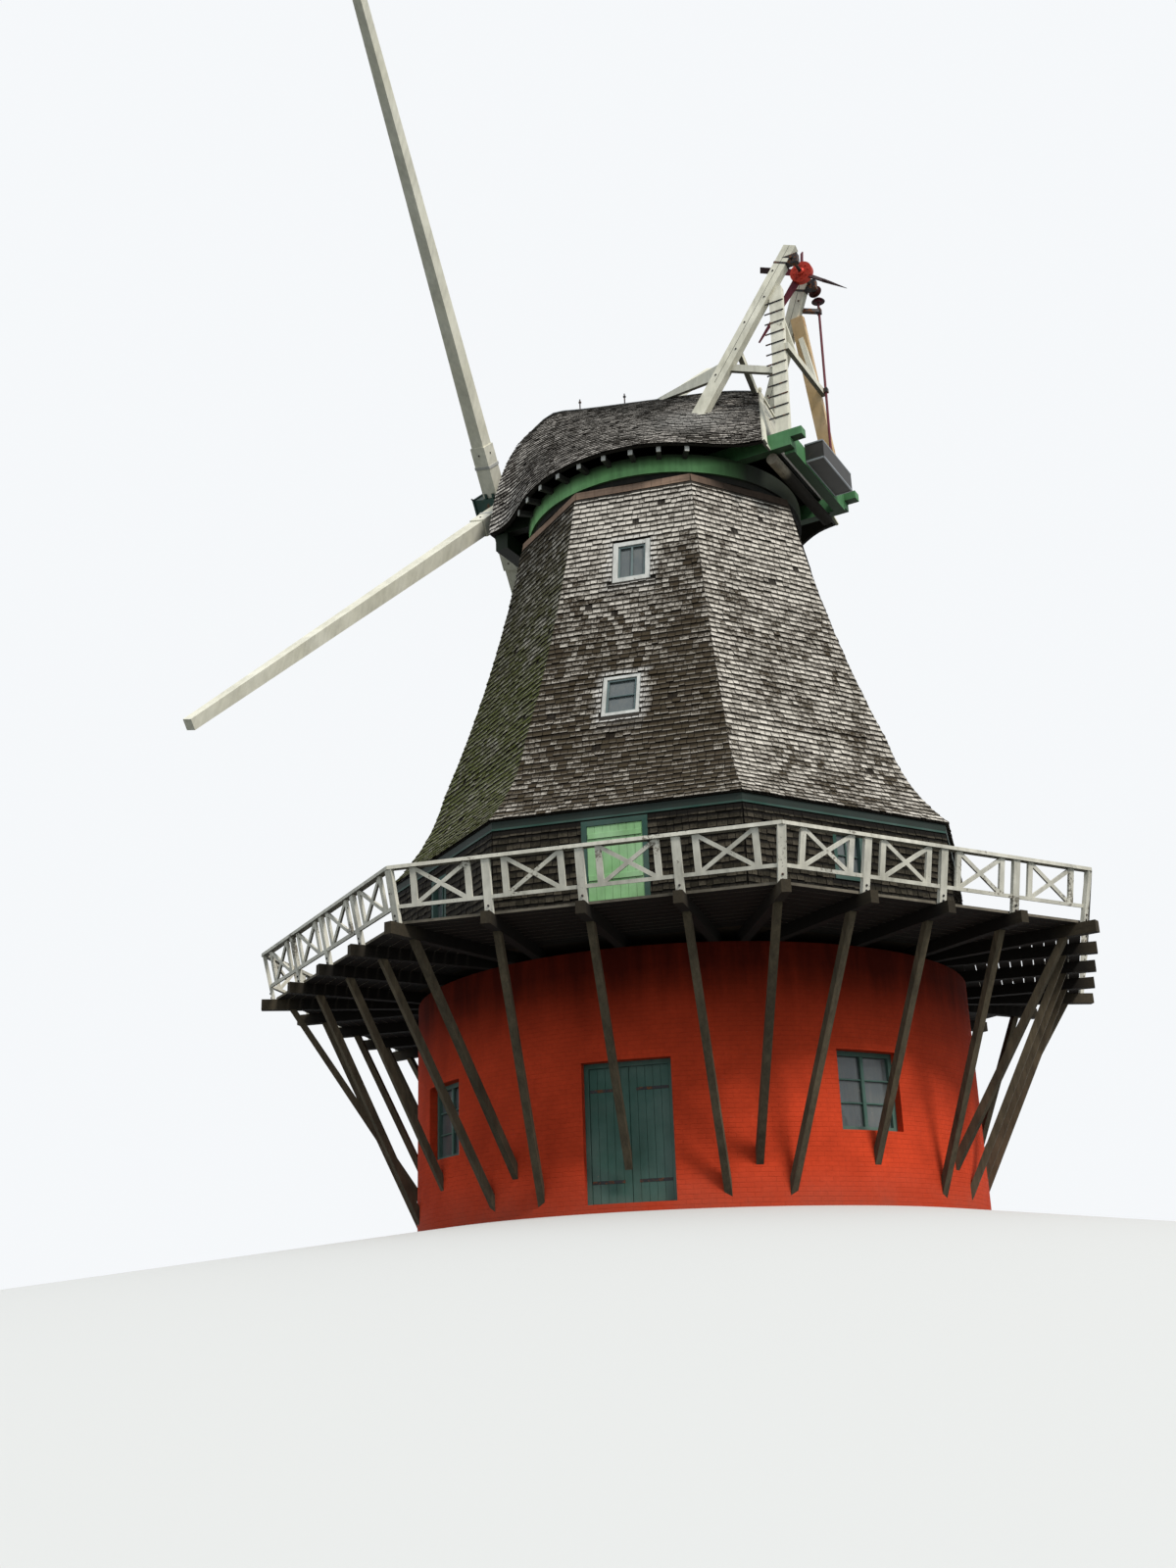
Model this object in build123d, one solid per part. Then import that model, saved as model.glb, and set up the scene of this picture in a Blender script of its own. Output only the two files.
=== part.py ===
from build123d import *
from math import atan2, cos, degrees, hypot, radians, sin, sqrt, tan
import os

# A smock windmill: round masonry base, eight-sided shingled smock, a gallery called the stage round its foot,
# and a cap that turns into the wind, with four bare stocks in front and the remains of a fan behind.
# Millimetres. The origin is on the mill's axis at ground level, +Z is up, and the stage door faces -Y.

# The eight-sided plan
SIDES = 8
SIDE_TURN = 360 / SIDES
CORNER = cos(radians(SIDE_TURN / 2))
SLANT = tan(radians(SIDE_TURN / 2))
FRONT = -90
RUNNING_GAP = 0.3
HAIR = 0.5
SEAT_GAP = 0.4

# Round masonry base
BASE_R = 5300
BASE_WALL = 600
GROUND_SLAB = 150
BASE_WINDOW_W = 1250
BASE_WINDOW_H = 1300
BASE_WINDOW_HEAD = 2500
BASE_DOOR_W = 1500
BASE_DOOR_H = 2250
BASE_FRAME_W = 80
BASE_FRAME_DEEP = 140
BASE_REVEAL = 150

# Stage: boards on beams, each beam propped by a strut from the wall
STAGE_Z = 4500
STAGE_CORNER_R = 8000
BAYS = 4
DECK_T = 45
BOARD_ROWS = 10
BOARD_GAP = 15
MITRE_GAP = 6
BEAM_W = 150
BEAM_H = 200
BEAM_INNER_R = 4780
BEAM_END_OUT = 270
STRUT_W = 120
STRUT_DEEP = 130
STRUT_TOP_IN = 260
STRUT_DROP = 3600

# Railing, leaning outwards
RAIL_H = 800
RAIL_LEAN = 177
RAIL_POST_W = 135
RAIL_POST_T = 70
RAIL_POST_CLEAR = 8
HANDRAIL_W = 120
HANDRAIL_H = 60
FOOT_RAIL_Z = 190
FOOT_RAIL_H = 60
FOOT_RAIL_T = 50
UPRIGHT_W = 100
UPRIGHT_T = 45
CROSS_W = 65
CROSS_T = 40
PANEL_SHARE = 0.6

# Stage storey
WALL_APOTHEM = 5310
WALL_T = 150
WALL_H = 2200
STAGE_DOOR_W = 1170
STAGE_DOOR_H = 2000
STAGE_DOOR_SHIFT = -15
DOOR_FRAME_W = 95
DOOR_FRAME_PROUD = 35
DOOR_LEAF_T = 50
DOOR_LEAF_GAP = 4
SIDE_WINDOW_W = 650
SIDE_WINDOW_SILL = 900
SIDE_WINDOW_H = 900
SIDE_WINDOW_SHIFT = -55
FASCIA_H = 160
FASCIA_T = 30
FASCIA_DROP = 10
FLOOR_T = 60
STAGE_FLOOR_T = 45

# Smock: the outer face of a side in the plane of radius and height
SKIRT_OUT = 60
SKIRT_R = WALL_APOTHEM + SKIRT_OUT
SKIRT_MID = (4800, 7500)
WAIST_R = 4420
WAIST_Z = 8500
SMOCK_MID = (3490, 11400)
SMOCK_TOP_R = 2840
SMOCK_TOP_Z = 14370
SMOCK_T = 150
LOW_WINDOW = (720, 950, 9255, -90)
HIGH_WINDOW = (760, 1000, 12450, 0)
SASH_W = 75
SASH_PROUD = 30
MULLION_W = 40
PANE_T = 12
LOW_LOFT_Z = 7800
HIGH_LOFT_Z = 11000

# Curb and cap ring
CURB_H = 130
CURB_IN_R = 2520
CURB_OUT_R = 2900
CAP_RING_IN_R = 2600
CAP_RING_OUT_R = 2960
CAP_RING_H = 400
CAP_HEADING = 166.4

# Cap roof: how far forward, half width at the eave, ridge height, and how full the haunch is, at each frame
EAVE_STATIONS = [
    (3410, 1740, 3520, 0.16),
    (2850, 1930, 3760, 0.13),
    (2250, 2400, 3700, 0.1),
    (1250, 3060, 3500, 0.06),
    (0, 3340, 3270, 0.035),
    (-1250, 3120, 3040, 0.025),
    (-2200, 2520, 2850, 0.02),
    (-2750, 2150, 2700, 0.015),
    (-3240, 2030, 2540, 0.01),
]
FRONT_RIDGE_X = 3220
REAR_RIDGE_X = -2450
ROOF_T = 80
BREAST_T = 60
GABLE_T = 45
RAFTER_W = 90
RAFTER_H = 110
RAFTER_OUT_R = 3275
RAFTER_STEP = 10
RAFTER_FIRST = 45
RAFTER_LAST = 125

# Cap frame
SHEER_OUT = 1510
SHEER_W = 220
SHEER_H = 350
SHEER_FRONT = 3120
SHEER_REAR = -3920
NOTCH_L = 250
BREAST_BEAM_X = 3170
BREAST_BEAM_W = 300
BREAST_BEAM_H = 380
BREAST_BEAM_L = 3300
WEATHER_BEAM_X = 2900
WEATHER_BEAM_W = 340
NECK_BLOCK_H = 669
WEATHER_BEAM_L = 3000
TAIL_BEARER_X = -1800
TAIL_BEARER_W = 260
TAIL_BLOCK_H = 245
TAIL_BEARER_LIFT = 40
TAIL_BEAM_X = -3550
TAIL_BEAM_W = 220
TAIL_BEAM_DROP = 60
ROLLER_X = -3200
ROLLER_R = 120
ROLLER_HALF_L = 1500
TAIL_BOX_L = 400
TAIL_BOX_W = 1600
TAIL_BOX_H = 400

# Windshaft and stocks
SHAFT_RISE = 12
SHAFT_LIFT = 879.7
SHAFT_R = 260
NECK_R = 220
NECK_X = 2980
NECK_L = 360
TAIL_JOURNAL_R = 150
TAIL_JOURNAL_X = -1900
TAIL_JOURNAL_L = 320
JOURNAL_GAP = 0.08
SHAFT_TAIL_X = -2150
SHAFT_HOLE_GAP = 30
BLOCK_W = 560
NECK_BLOCK_L = 200
TAIL_BLOCK_L = 170
HUB_X = 4200
POLL_W = 620
POLL_REAR = 3640
POLL_FRONT = 4840
STOCK_LENGTH = 23200
STOCK_TURN = 44.1
STOCK_W = 400
STOCK_T = 380
STOCK_ROOT = 1500
STOCK_SHOULDER_W = 345
STOCK_SHOULDER_T = 325
STOCK_TIP_W = 220
STOCK_TIP_T = 200

# Trestle that carries the fan: points are forward, sideways, and height above the eave
MAIN_STRUT_FOOT = (-1490, 1430, 1250)
MAIN_STRUT_TOP = (-3620, 430, 5565)
MAIN_STRUT_W = 180
MAIN_STRUT_DEEP = 300
POST_FOOT = (-3500, 1510)
POST_TOP = (-3260, 600, 4510)
POST_W = 160
POST_DEEP = 280
RUNG_COUNT = 12
RUNG_FIRST_Z = 760
RUNG_PITCH = 300
RUNG_R = 16
RUNG_L = 435
RUNG_REAR = 175
RUNG_SINK = 9
TIE_Z = 2710
TIE_H = 150
TIE_T = 95
TIE_HALF_L = 1050
INNER_BRACE_W = 110
INNER_BRACE_FOOT_Y = 560
INNER_BRACE_HEAD_Z = 4000
RIDGE_BRACE_HEAD_Z = 3130
RIDGE_BRACE_FOOT = (-2400, 30, 2480)
LEVEL_BRACE_Z = (2650, 2120)
LEVEL_BRACE_IN = 50
BRACE_W = 110
BRACE_DEEP = 150
FORE_BRACE_Z = 2590
FORE_BRACE_FOOT = (60, 0, 3180)
FORE_BRACE_W = 80
FORE_BRACE_DEEP = (380, 70)

# Fan remains and the rod that it drives
FAN_X = -3665
FAN_Z = 5170
FAN_HUB_R = 250
FAN_HUB_T = 130
FAN_AXLE_R = 35
FAN_AXLE_END = 55
FAN_BEARING_H = 220
FAN_BEARING_REAR = 130
FAN_BEARING_W = 140
FAN_REMAINS = [(26, 1060, 150, 130), (95, 520, 110, 90), (219, 690, 150, 110), (309, 1780, 190, 40)]
FAN_BLADE_T = 24
FAN_BLADE_PITCH = -40
GEAR_APEX_Y = -935
GEAR_R = 150
GEAR_FACE = 55
GEAR_CONE = 43
GEAR_HUB = 40
ROD_R = 28
ROD_FOOT = (-3605, -985)
ROD_FOOT_GAP = 3
ROD_BLOCK_W = 100
ROD_BLOCK_L = 130
ROD_EYE_DROP = 420


def octagon(apothem):
    corner = apothem / CORNER
    return make_face(Polyline([
        (corner * cos(radians(SIDE_TURN * (k + 0.5))), corner * sin(radians(SIDE_TURN * (k + 0.5))))
        for k in range(SIDES)
    ], close=True))


def side_angles(first=0, step=1):
    return [SIDE_TURN * k for k in range(first, SIDES, step)]


def mitred(inner, outer, gap=0):
    """The plan of one side, between two distances from the axis and the two corner planes, facing +X."""
    near = inner * SLANT - gap
    far = outer * SLANT - gap
    return make_face(Polyline([(inner, -near), (outer, -far), (outer, far), (inner, near)], close=True))


def raised(face, low, high):
    return extrude(Pos(0, 0, low) * face, high - low, dir=(0, 0, 1))


def turned(shape, angle):
    return Rot(0, 0, angle) * shape


def block(x0, x1, y0, y1, z0, z1):
    return Pos((x0 + x1) / 2, (y0 + y1) / 2, (z0 + z1) / 2) * Box(x1 - x0, y1 - y0, z1 - z0)


def along(start, end, across):
    start, end, across = Vector(start), Vector(end), Vector(across)
    line = (end - start).normalized()
    return Plane(origin=start, x_dir=across - line * across.dot(line), z_dir=line), (end - start).length


def timber(start, end, wide, deep, across=(0, 1, 0)):
    """A straight timber between two points: wide is measured along across, deep at right angles to it."""
    plane, length = along(start, end, across)
    return extrude(plane * Rectangle(wide, deep), length)


def rod(start, end, radius):
    plane, length = along(start, end, (1, 0, 0) if abs((Vector(end) - Vector(start)).normalized().X) < 0.9 else (0, 1, 0))
    return extrude(plane * Circle(radius), length)


def joined(shapes):
    total = shapes[0]
    for shape in shapes[1:]:
        total = total + shape
    return total


def save(name, solids):
    solids = solids if isinstance(solids, list) else [solids]
    found = [solid for shape in solids for solid in shape.solids()]
    whole = found[0] if len(found) == 1 else Compound(children=found)
    whole.label = name
    export_step(whole, f"parts/{name}.step")


# Base

def base_walls():
    top = STAGE_Z - DECK_T - BEAM_H
    ring = Cylinder(BASE_R, top, align=(Align.CENTER, Align.CENTER, Align.MIN))
    ring -= Cylinder(BASE_R - BASE_WALL, top, align=(Align.CENTER, Align.CENTER, Align.MIN))
    wedge = raised(mitred(BASE_R / 3, BASE_R * 1.2), 0, top)
    segment = ring & wedge
    half_w = BASE_WINDOW_W / 2
    window = block(0, BASE_R * 1.1, -half_w, half_w, BASE_WINDOW_HEAD - BASE_WINDOW_H, BASE_WINDOW_HEAD)
    half_d = BASE_DOOR_W / 2
    doorway = block(0, BASE_R * 1.1, -half_d, half_d, GROUND_SLAB, GROUND_SLAB + BASE_DOOR_H)
    plain = [turned(segment, angle) for angle in (0, 90, 180)]
    save("base_wall_sides", [turned(segment - doorway, FRONT), *plain])
    save("base_wall_diagonals", [turned(segment - window, angle) for angle in side_angles(1, 2)])
    slab = Cylinder(BASE_R - BASE_WALL, GROUND_SLAB, align=(Align.CENTER, Align.CENTER, Align.MIN))
    save("ground_floor", slab)


def frame_in(wide, low, high, bar, x0, x1, sill=True):
    """A frame of the given bar width just filling an opening that faces +X."""
    half = wide / 2
    whole = block(x0, x1, -half, half, low, high)
    return whole - block(x0 - 1, x1 + 1, -half + bar, half - bar, low + (bar if sill else -1), high - bar)


def base_openings():
    face = sqrt(BASE_R**2 - (BASE_WINDOW_W / 2)**2) - BASE_REVEAL
    low = BASE_WINDOW_HEAD - BASE_WINDOW_H
    frame = frame_in(BASE_WINDOW_W, low, BASE_WINDOW_HEAD, BASE_FRAME_W, face - BASE_FRAME_DEEP, face)
    door_face = sqrt(BASE_R**2 - (BASE_DOOR_W / 2)**2) - BASE_REVEAL
    sill, head = GROUND_SLAB, GROUND_SLAB + BASE_DOOR_H
    door_frame = frame_in(BASE_DOOR_W, sill, head, BASE_FRAME_W, door_face - BASE_FRAME_DEEP, door_face, False)
    frames = [turned(frame, angle) for angle in side_angles(1, 2)]
    save("base_frames", [turned(door_frame, FRONT), *frames])
    inner = BASE_DOOR_W / 2 - BASE_FRAME_W - HAIR
    leaf = block(door_face - 90, door_face - 90 + DOOR_LEAF_T, DOOR_LEAF_GAP / 2, inner,
                 sill + HAIR, head - BASE_FRAME_W - HAIR)
    save("base_door_leaves", [turned(leaf, FRONT), turned(mirror(leaf, about=Plane.XZ), FRONT)])


def base_panes():
    face = sqrt(BASE_R**2 - (BASE_WINDOW_W / 2)**2) - BASE_REVEAL - BASE_FRAME_DEEP / 2
    half = BASE_WINDOW_W / 2 - BASE_FRAME_W
    low = BASE_WINDOW_HEAD - BASE_WINDOW_H + BASE_FRAME_W
    pane = block(face - PANE_T / 2, face + PANE_T / 2, -half, half, low, BASE_WINDOW_HEAD - BASE_FRAME_W)
    return [turned(pane, angle) for angle in side_angles(1, 2)]


# Stage

STAGE_APOTHEM = STAGE_CORNER_R * CORNER
BAY = 2 * STAGE_CORNER_R * sin(radians(SIDE_TURN / 2)) / BAYS
BEAM_TOP = STAGE_Z - DECK_T
BEAM_FOOT = BEAM_TOP - BEAM_H


def bay_lines():
    return [BAY * (k - BAYS / 2) for k in range(1, BAYS)]


def beam_places():
    """Each beam as its turn about the axis, its shift along the side and its outer end."""
    places = []
    for angle in side_angles():
        places += [(angle, shift, STAGE_APOTHEM + BEAM_END_OUT) for shift in bay_lines()]
        places.append((angle + SIDE_TURN / 2, 0, STAGE_CORNER_R + BEAM_END_OUT))
    return places


def stage_beams():
    base = Cylinder(BASE_R, STAGE_Z * 4)
    beams, struts = [], []
    for angle, shift, end in beam_places():
        beam = block(BEAM_INNER_R, end, shift - BEAM_W / 2, shift + BEAM_W / 2, BEAM_FOOT, BEAM_TOP)
        beams.append(turned(beam, angle))
        top = end - STRUT_TOP_IN - BEAM_END_OUT
        low = BEAM_FOOT - STRUT_DROP
        run = BASE_R - BEAM_INNER_R
        slope = STRUT_DROP / (top - BASE_R)
        side = Polyline([
            (BEAM_INNER_R, low - run * slope), (BEAM_INNER_R, low - run * slope + STRUT_DEEP * 2),
            (top - STRUT_DEEP, BEAM_FOOT), (top, BEAM_FOOT),
        ], close=True)
        plane = Plane(origin=(0, shift + STRUT_W / 2, 0), x_dir=(1, 0, 0), z_dir=(0, -1, 0))
        strut = extrude(plane * make_face(side), STRUT_W) - base
        struts.append(turned(strut, angle))
    save("stage_beams", beams)
    save("stage_struts", struts)


def deck_boards():
    inner = WALL_APOTHEM + BOARD_GAP
    pitch = (STAGE_APOTHEM - inner + BOARD_GAP) / BOARD_ROWS
    boards = [
        raised(mitred(inner + k * pitch, inner + (k + 1) * pitch - BOARD_GAP, MITRE_GAP), BEAM_TOP, STAGE_Z)
        for k in range(BOARD_ROWS)
    ]
    save("stage_deck", [turned(board, angle) for angle in side_angles() for board in boards[:-1]])
    save("stage_edge_boards", [turned(boards[-1], angle) for angle in side_angles()])


def leaning(lower_r, rise, lean):
    """The plane of a railing side: x runs along the side and y up the lean."""
    return Plane(origin=(lower_r, 0, STAGE_Z), x_dir=(0, 1, 0), z_dir=Vector(rise, 0, -lean).normalized())


def rails():
    foot_r = STAGE_APOTHEM + RAIL_POST_CLEAR + RAIL_POST_T / 2 + DECK_T * RAIL_LEAN / RAIL_H
    plane = leaning(foot_r, RAIL_H, RAIL_LEAN)
    stretch = hypot(RAIL_H, RAIL_LEAN) / RAIL_H
    top_z = STAGE_Z + RAIL_H
    bars = []

    def bar(x0, y0, x1, y1, wide, thick):
        middle = ((x0 + x1) / 2, (y0 + y1) / 2)
        turn = degrees(atan2(y1 - y0, x1 - x0))
        outline = Pos(*middle) * Rot(0, 0, turn) * Rectangle(hypot(x1 - x0, y1 - y0), wide)
        bars.append(extrude(plane * outline, thick / 2, both=True))

    over = RAIL_H * stretch * 1.1
    for line in bay_lines():
        bar(line, -over / 4, line, over, RAIL_POST_W, RAIL_POST_T)
    reach = BAY * (BAYS / 2 + 1)
    foot_y = (FOOT_RAIL_Z + FOOT_RAIL_H / 2) * stretch
    bar(-reach, foot_y, reach, foot_y, FOOT_RAIL_H, FOOT_RAIL_T)
    for k in range(BAYS):
        centre = BAY * (k + 0.5 - BAYS / 2)
        half = BAY * PANEL_SHARE / 2
        head_y = RAIL_H * stretch
        for side in (-1, 1):
            bar(centre + side * half, foot_y, centre + side * half, over, UPRIGHT_W, UPRIGHT_T)
            bar(centre - side * half, foot_y, centre + side * half, head_y, CROSS_W, CROSS_T)
    rail_top = top_z + HANDRAIL_H
    wedge = raised(mitred(STAGE_APOTHEM / 2, STAGE_APOTHEM * 1.2, MITRE_GAP), BEAM_TOP, top_z)
    lattice = joined(bars) & wedge
    rail_r = foot_r + RAIL_LEAN
    handrail = raised(mitred(rail_r - HANDRAIL_W / 2, rail_r + HANDRAIL_W / 2, MITRE_GAP), top_z, rail_top)
    corner_plane = leaning(foot_r / CORNER, RAIL_H, RAIL_LEAN / CORNER)
    post = extrude(corner_plane * (Pos(0, over / 4) * Rectangle(RAIL_POST_W, over * 2)), RAIL_POST_T / 2, both=True)
    post &= block(0, STAGE_CORNER_R * 1.2, -RAIL_POST_W, RAIL_POST_W, BEAM_TOP, top_z)
    corners = [turned(post, angle + SIDE_TURN / 2) for angle in side_angles()]
    save("rail_corner_posts", corners)
    cutters = [turned(post, SIDE_TURN / 2), turned(post, -SIDE_TURN / 2)]
    panel = lattice + handrail
    for cutter in cutters:
        panel = panel - cutter
    save("rail_sides", [turned(panel, angle) for angle in side_angles(0, 2)])
    save("rail_diagonals", [turned(panel, angle) for angle in side_angles(1, 2)])


# Stage storey

WALL_TOP = STAGE_Z + WALL_H


def stage_storey():
    panel = raised(mitred(WALL_APOTHEM - WALL_T, WALL_APOTHEM), BEAM_TOP, WALL_TOP)
    half = STAGE_DOOR_W / 2
    door_hole = block(WALL_APOTHEM / 2, WALL_APOTHEM * 1.1, STAGE_DOOR_SHIFT - half, STAGE_DOOR_SHIFT + half,
                      STAGE_Z, STAGE_Z + STAGE_DOOR_H)
    half = SIDE_WINDOW_W / 2
    sill = STAGE_Z + SIDE_WINDOW_SILL
    window_hole = block(WALL_APOTHEM / 2, WALL_APOTHEM * 1.1, SIDE_WINDOW_SHIFT - half, SIDE_WINDOW_SHIFT + half,
                        sill, sill + SIDE_WINDOW_H)
    fronts = {FRONT % 360: door_hole, 90: door_hole}
    save("stage_wall_sides", [
        turned(panel - fronts[angle] if angle in fronts else panel, angle) for angle in side_angles(0, 2)
    ])
    save("stage_wall_diagonals", [turned(panel - window_hole, angle) for angle in side_angles(1, 2)])

    outer = WALL_APOTHEM + DOOR_FRAME_PROUD
    frame = Pos(0, STAGE_DOOR_SHIFT, 0) * frame_in(
        STAGE_DOOR_W, STAGE_Z, STAGE_Z + STAGE_DOOR_H, DOOR_FRAME_W, WALL_APOTHEM - WALL_T, outer, False)
    frames = [turned(frame, angle) for angle in fronts]
    inner = STAGE_DOOR_W / 2 - DOOR_FRAME_W - HAIR
    leaf = block(WALL_APOTHEM - DOOR_LEAF_T, WALL_APOTHEM, STAGE_DOOR_SHIFT - inner, STAGE_DOOR_SHIFT + inner,
                 STAGE_Z + HAIR, STAGE_Z + STAGE_DOOR_H - DOOR_FRAME_W - HAIR)
    save("stage_door_leaves", [turned(leaf, angle) for angle in fronts])
    frame = Pos(0, SIDE_WINDOW_SHIFT, 0) * frame_in(
        SIDE_WINDOW_W, sill, sill + SIDE_WINDOW_H, SASH_W, WALL_APOTHEM - WALL_T, outer)
    frames += [turned(frame, angle) for angle in side_angles(1, 2)]
    save("stage_frames", frames)

    top = WALL_TOP - FASCIA_DROP
    fascia = raised(mitred(WALL_APOTHEM, WALL_APOTHEM + FASCIA_T), top - FASCIA_H, top)
    save("fascia", joined([turned(fascia, angle) for angle in side_angles()]))
    return raised(octagon(WALL_APOTHEM - WALL_T - HAIR), BEAM_TOP, BEAM_TOP + STAGE_FLOOR_T)


def stage_panes():
    half = SIDE_WINDOW_W / 2 - SASH_W
    low = STAGE_Z + SIDE_WINDOW_SILL + SASH_W
    high = STAGE_Z + SIDE_WINDOW_SILL + SIDE_WINDOW_H - SASH_W
    middle = WALL_APOTHEM - WALL_T / 2
    pane = block(middle - PANE_T / 2, middle + PANE_T / 2, SIDE_WINDOW_SHIFT - half, SIDE_WINDOW_SHIFT + half, low, high)
    return [turned(pane, angle) for angle in side_angles(1, 2)]


# Smock

def circle_through(a, b, c):
    """Centre and radius of the circle through three points."""
    (ax, ay), (bx, by), (cx, cy) = a, b, c
    d = 2 * (ax * (by - cy) + bx * (cy - ay) + cx * (ay - by))
    a2, b2, c2 = ax**2 + ay**2, bx**2 + by**2, cx**2 + cy**2
    x = (a2 * (by - cy) + b2 * (cy - ay) + c2 * (ay - by)) / d
    y = (a2 * (cx - bx) + b2 * (ax - cx) + c2 * (bx - ax)) / d
    return x, y, hypot(ax - x, ay - y)


def smock_face_at(z):
    """Distance of the smock's outer face from the axis at a height above the waist."""
    x, y, r = circle_through((WAIST_R, WAIST_Z), SMOCK_MID, (SMOCK_TOP_R, SMOCK_TOP_Z))
    return x - sqrt(r**2 - (z - y)**2)


def smock_profile(inset):
    skirt_mid, smock_mid = (SKIRT_MID[0] - inset, SKIRT_MID[1]), (SMOCK_MID[0] - inset, SMOCK_MID[1])
    foot, waist = (SKIRT_R - inset, WALL_TOP), (WAIST_R - inset, WAIST_Z)
    top = (SMOCK_TOP_R - inset, SMOCK_TOP_Z)
    return ThreePointArc(foot, skirt_mid, waist), ThreePointArc(waist, smock_mid, top)


def window_plane(window):
    """On the smock's outer face at the window's middle: x along the side, y up the slope, z outwards."""
    wide, high, middle, shift = window
    low_r, high_r = smock_face_at(middle - high / 2), smock_face_at(middle + high / 2)
    return Plane(origin=((low_r + high_r) / 2, shift, middle), x_dir=(0, 1, 0),
                 z_dir=Vector(high, 0, low_r - high_r).normalized())


def smock():
    outer, inner = smock_profile(0), smock_profile(SMOCK_T)
    foot = Line(outer[0] @ 0, inner[0] @ 0)
    top = Line(outer[1] @ 1, inner[1] @ 1)
    side = make_face([*outer, top, *inner, foot])
    upright = Plane(origin=(0, 0, 0), x_dir=(1, 0, 0), z_dir=(0, -1, 0))
    reach = SKIRT_R
    panel = extrude(upright * side, reach, both=True)
    panel &= raised(mitred(1, SKIRT_R * 1.2), WALL_TOP - 1, SMOCK_TOP_Z + 1)
    holed = panel
    frames, panes = [], []
    for window in (LOW_WINDOW, HIGH_WINDOW):
        wide, high, middle, shift = window
        plane = window_plane(window)
        holed = holed - extrude(plane * Rectangle(wide, high), SMOCK_T * 2, both=True)
        opening = plane * (Rectangle(wide, high) - Rectangle(wide - 2 * SASH_W, high - 2 * SASH_W))
        frame = extrude(opening, SASH_PROUD) + extrude(opening, -SMOCK_T * 0.9)
        mullion = plane * Rectangle(MULLION_W, high - 2 * SASH_W)
        depth = SMOCK_T * 0.35
        frame += extrude(mullion, -(depth - PANE_T)) + extrude(mullion, -SMOCK_T * 0.1)
        glass = Plane(origin=plane.origin - plane.z_dir * depth, x_dir=plane.x_dir, z_dir=plane.z_dir)
        pane = extrude(glass * Rectangle(wide - 2 * SASH_W, high - 2 * SASH_W), -PANE_T)
        frames.append(frame)
        panes.append(pane)
    names = ["right", "back_right", "back", "back_left", "left", "front_left", "front", "front_right"]
    for name, angle in zip(names, side_angles()):
        save(f"smock_{name}", turned(holed if name in ("front", "back") else panel, angle))
    save("smock_window_frames", [turned(frame, angle) for angle in (FRONT, FRONT + 180) for frame in frames])
    floors = []
    for z in (LOW_LOFT_Z, HIGH_LOFT_Z):
        if z < WAIST_Z:
            x, y, r = circle_through((SKIRT_R, WALL_TOP), SKIRT_MID, (WAIST_R, WAIST_Z))
            wall = x - sqrt(r**2 - (z + FLOOR_T - y)**2)
        else:
            wall = smock_face_at(z + FLOOR_T)
        floors.append(raised(octagon(wall - SMOCK_T - HAIR), z, z + FLOOR_T))
    return floors, [turned(pane, angle) for angle in (FRONT, FRONT + 180) for pane in panes]


# Curb and cap; the cap is drawn with +X towards the sails and turned to its heading

CAP_Z = SMOCK_TOP_Z + CURB_H + RUNNING_GAP
EAVE_Z = CAP_Z + CAP_RING_H
SHAFT_Z = EAVE_Z + SHAFT_LIFT


def ring(inner, outer, low, high):
    base = Pos(0, 0, low)
    up = (Align.CENTER, Align.CENTER, Align.MIN)
    return base * (Cylinder(outer, high - low, align=up) - Cylinder(inner, high - low, align=up))


def on_cap(shape):
    return Rot(0, 0, CAP_HEADING) * shape


def both_sides(shape):
    return [shape, mirror(shape, about=Plane.XZ)]


def roof_frame(station, inset=0):
    """One arched frame of the roof, in a plane that leans with the gables."""
    eave_x, half, rise, haunch = station
    lean = (FRONT_RIDGE_X - REAR_RIDGE_X) / (EAVE_STATIONS[0][0] - EAVE_STATIONS[-1][0])
    ridge_x = FRONT_RIDGE_X + lean * (eave_x - EAVE_STATIONS[0][0])
    length = hypot(rise, eave_x - ridge_x)
    plane = Plane(origin=(eave_x, 0, EAVE_Z), x_dir=(0, 1, 0), z_dir=Vector(rise, 0, eave_x - ridge_x).normalized())
    half, length = half - inset, length - inset
    out, up = half * (1 / 2 + haunch), length * (1 + haunch) / 2
    left = ThreePointArc((-half, 0), (-out, up), (0, length))
    right = ThreePointArc((0, length), (out, up), (half, 0))
    return plane * make_face([left, right, Line((half, 0), (-half, 0))])


def roof_solid(inset=0):
    return loft([roof_frame(station, inset) for station in EAVE_STATIONS])


def windshaft_place():
    return Pos(0, 0, SHAFT_Z) * Rot(0, -SHAFT_RISE, 0)


def shaft_rod(x0, x1, radius):
    return windshaft_place() * (Pos((x0 + x1) / 2, 0, 0) * Rot(0, 90, 0) * Cylinder(radius, x1 - x0))


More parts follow.
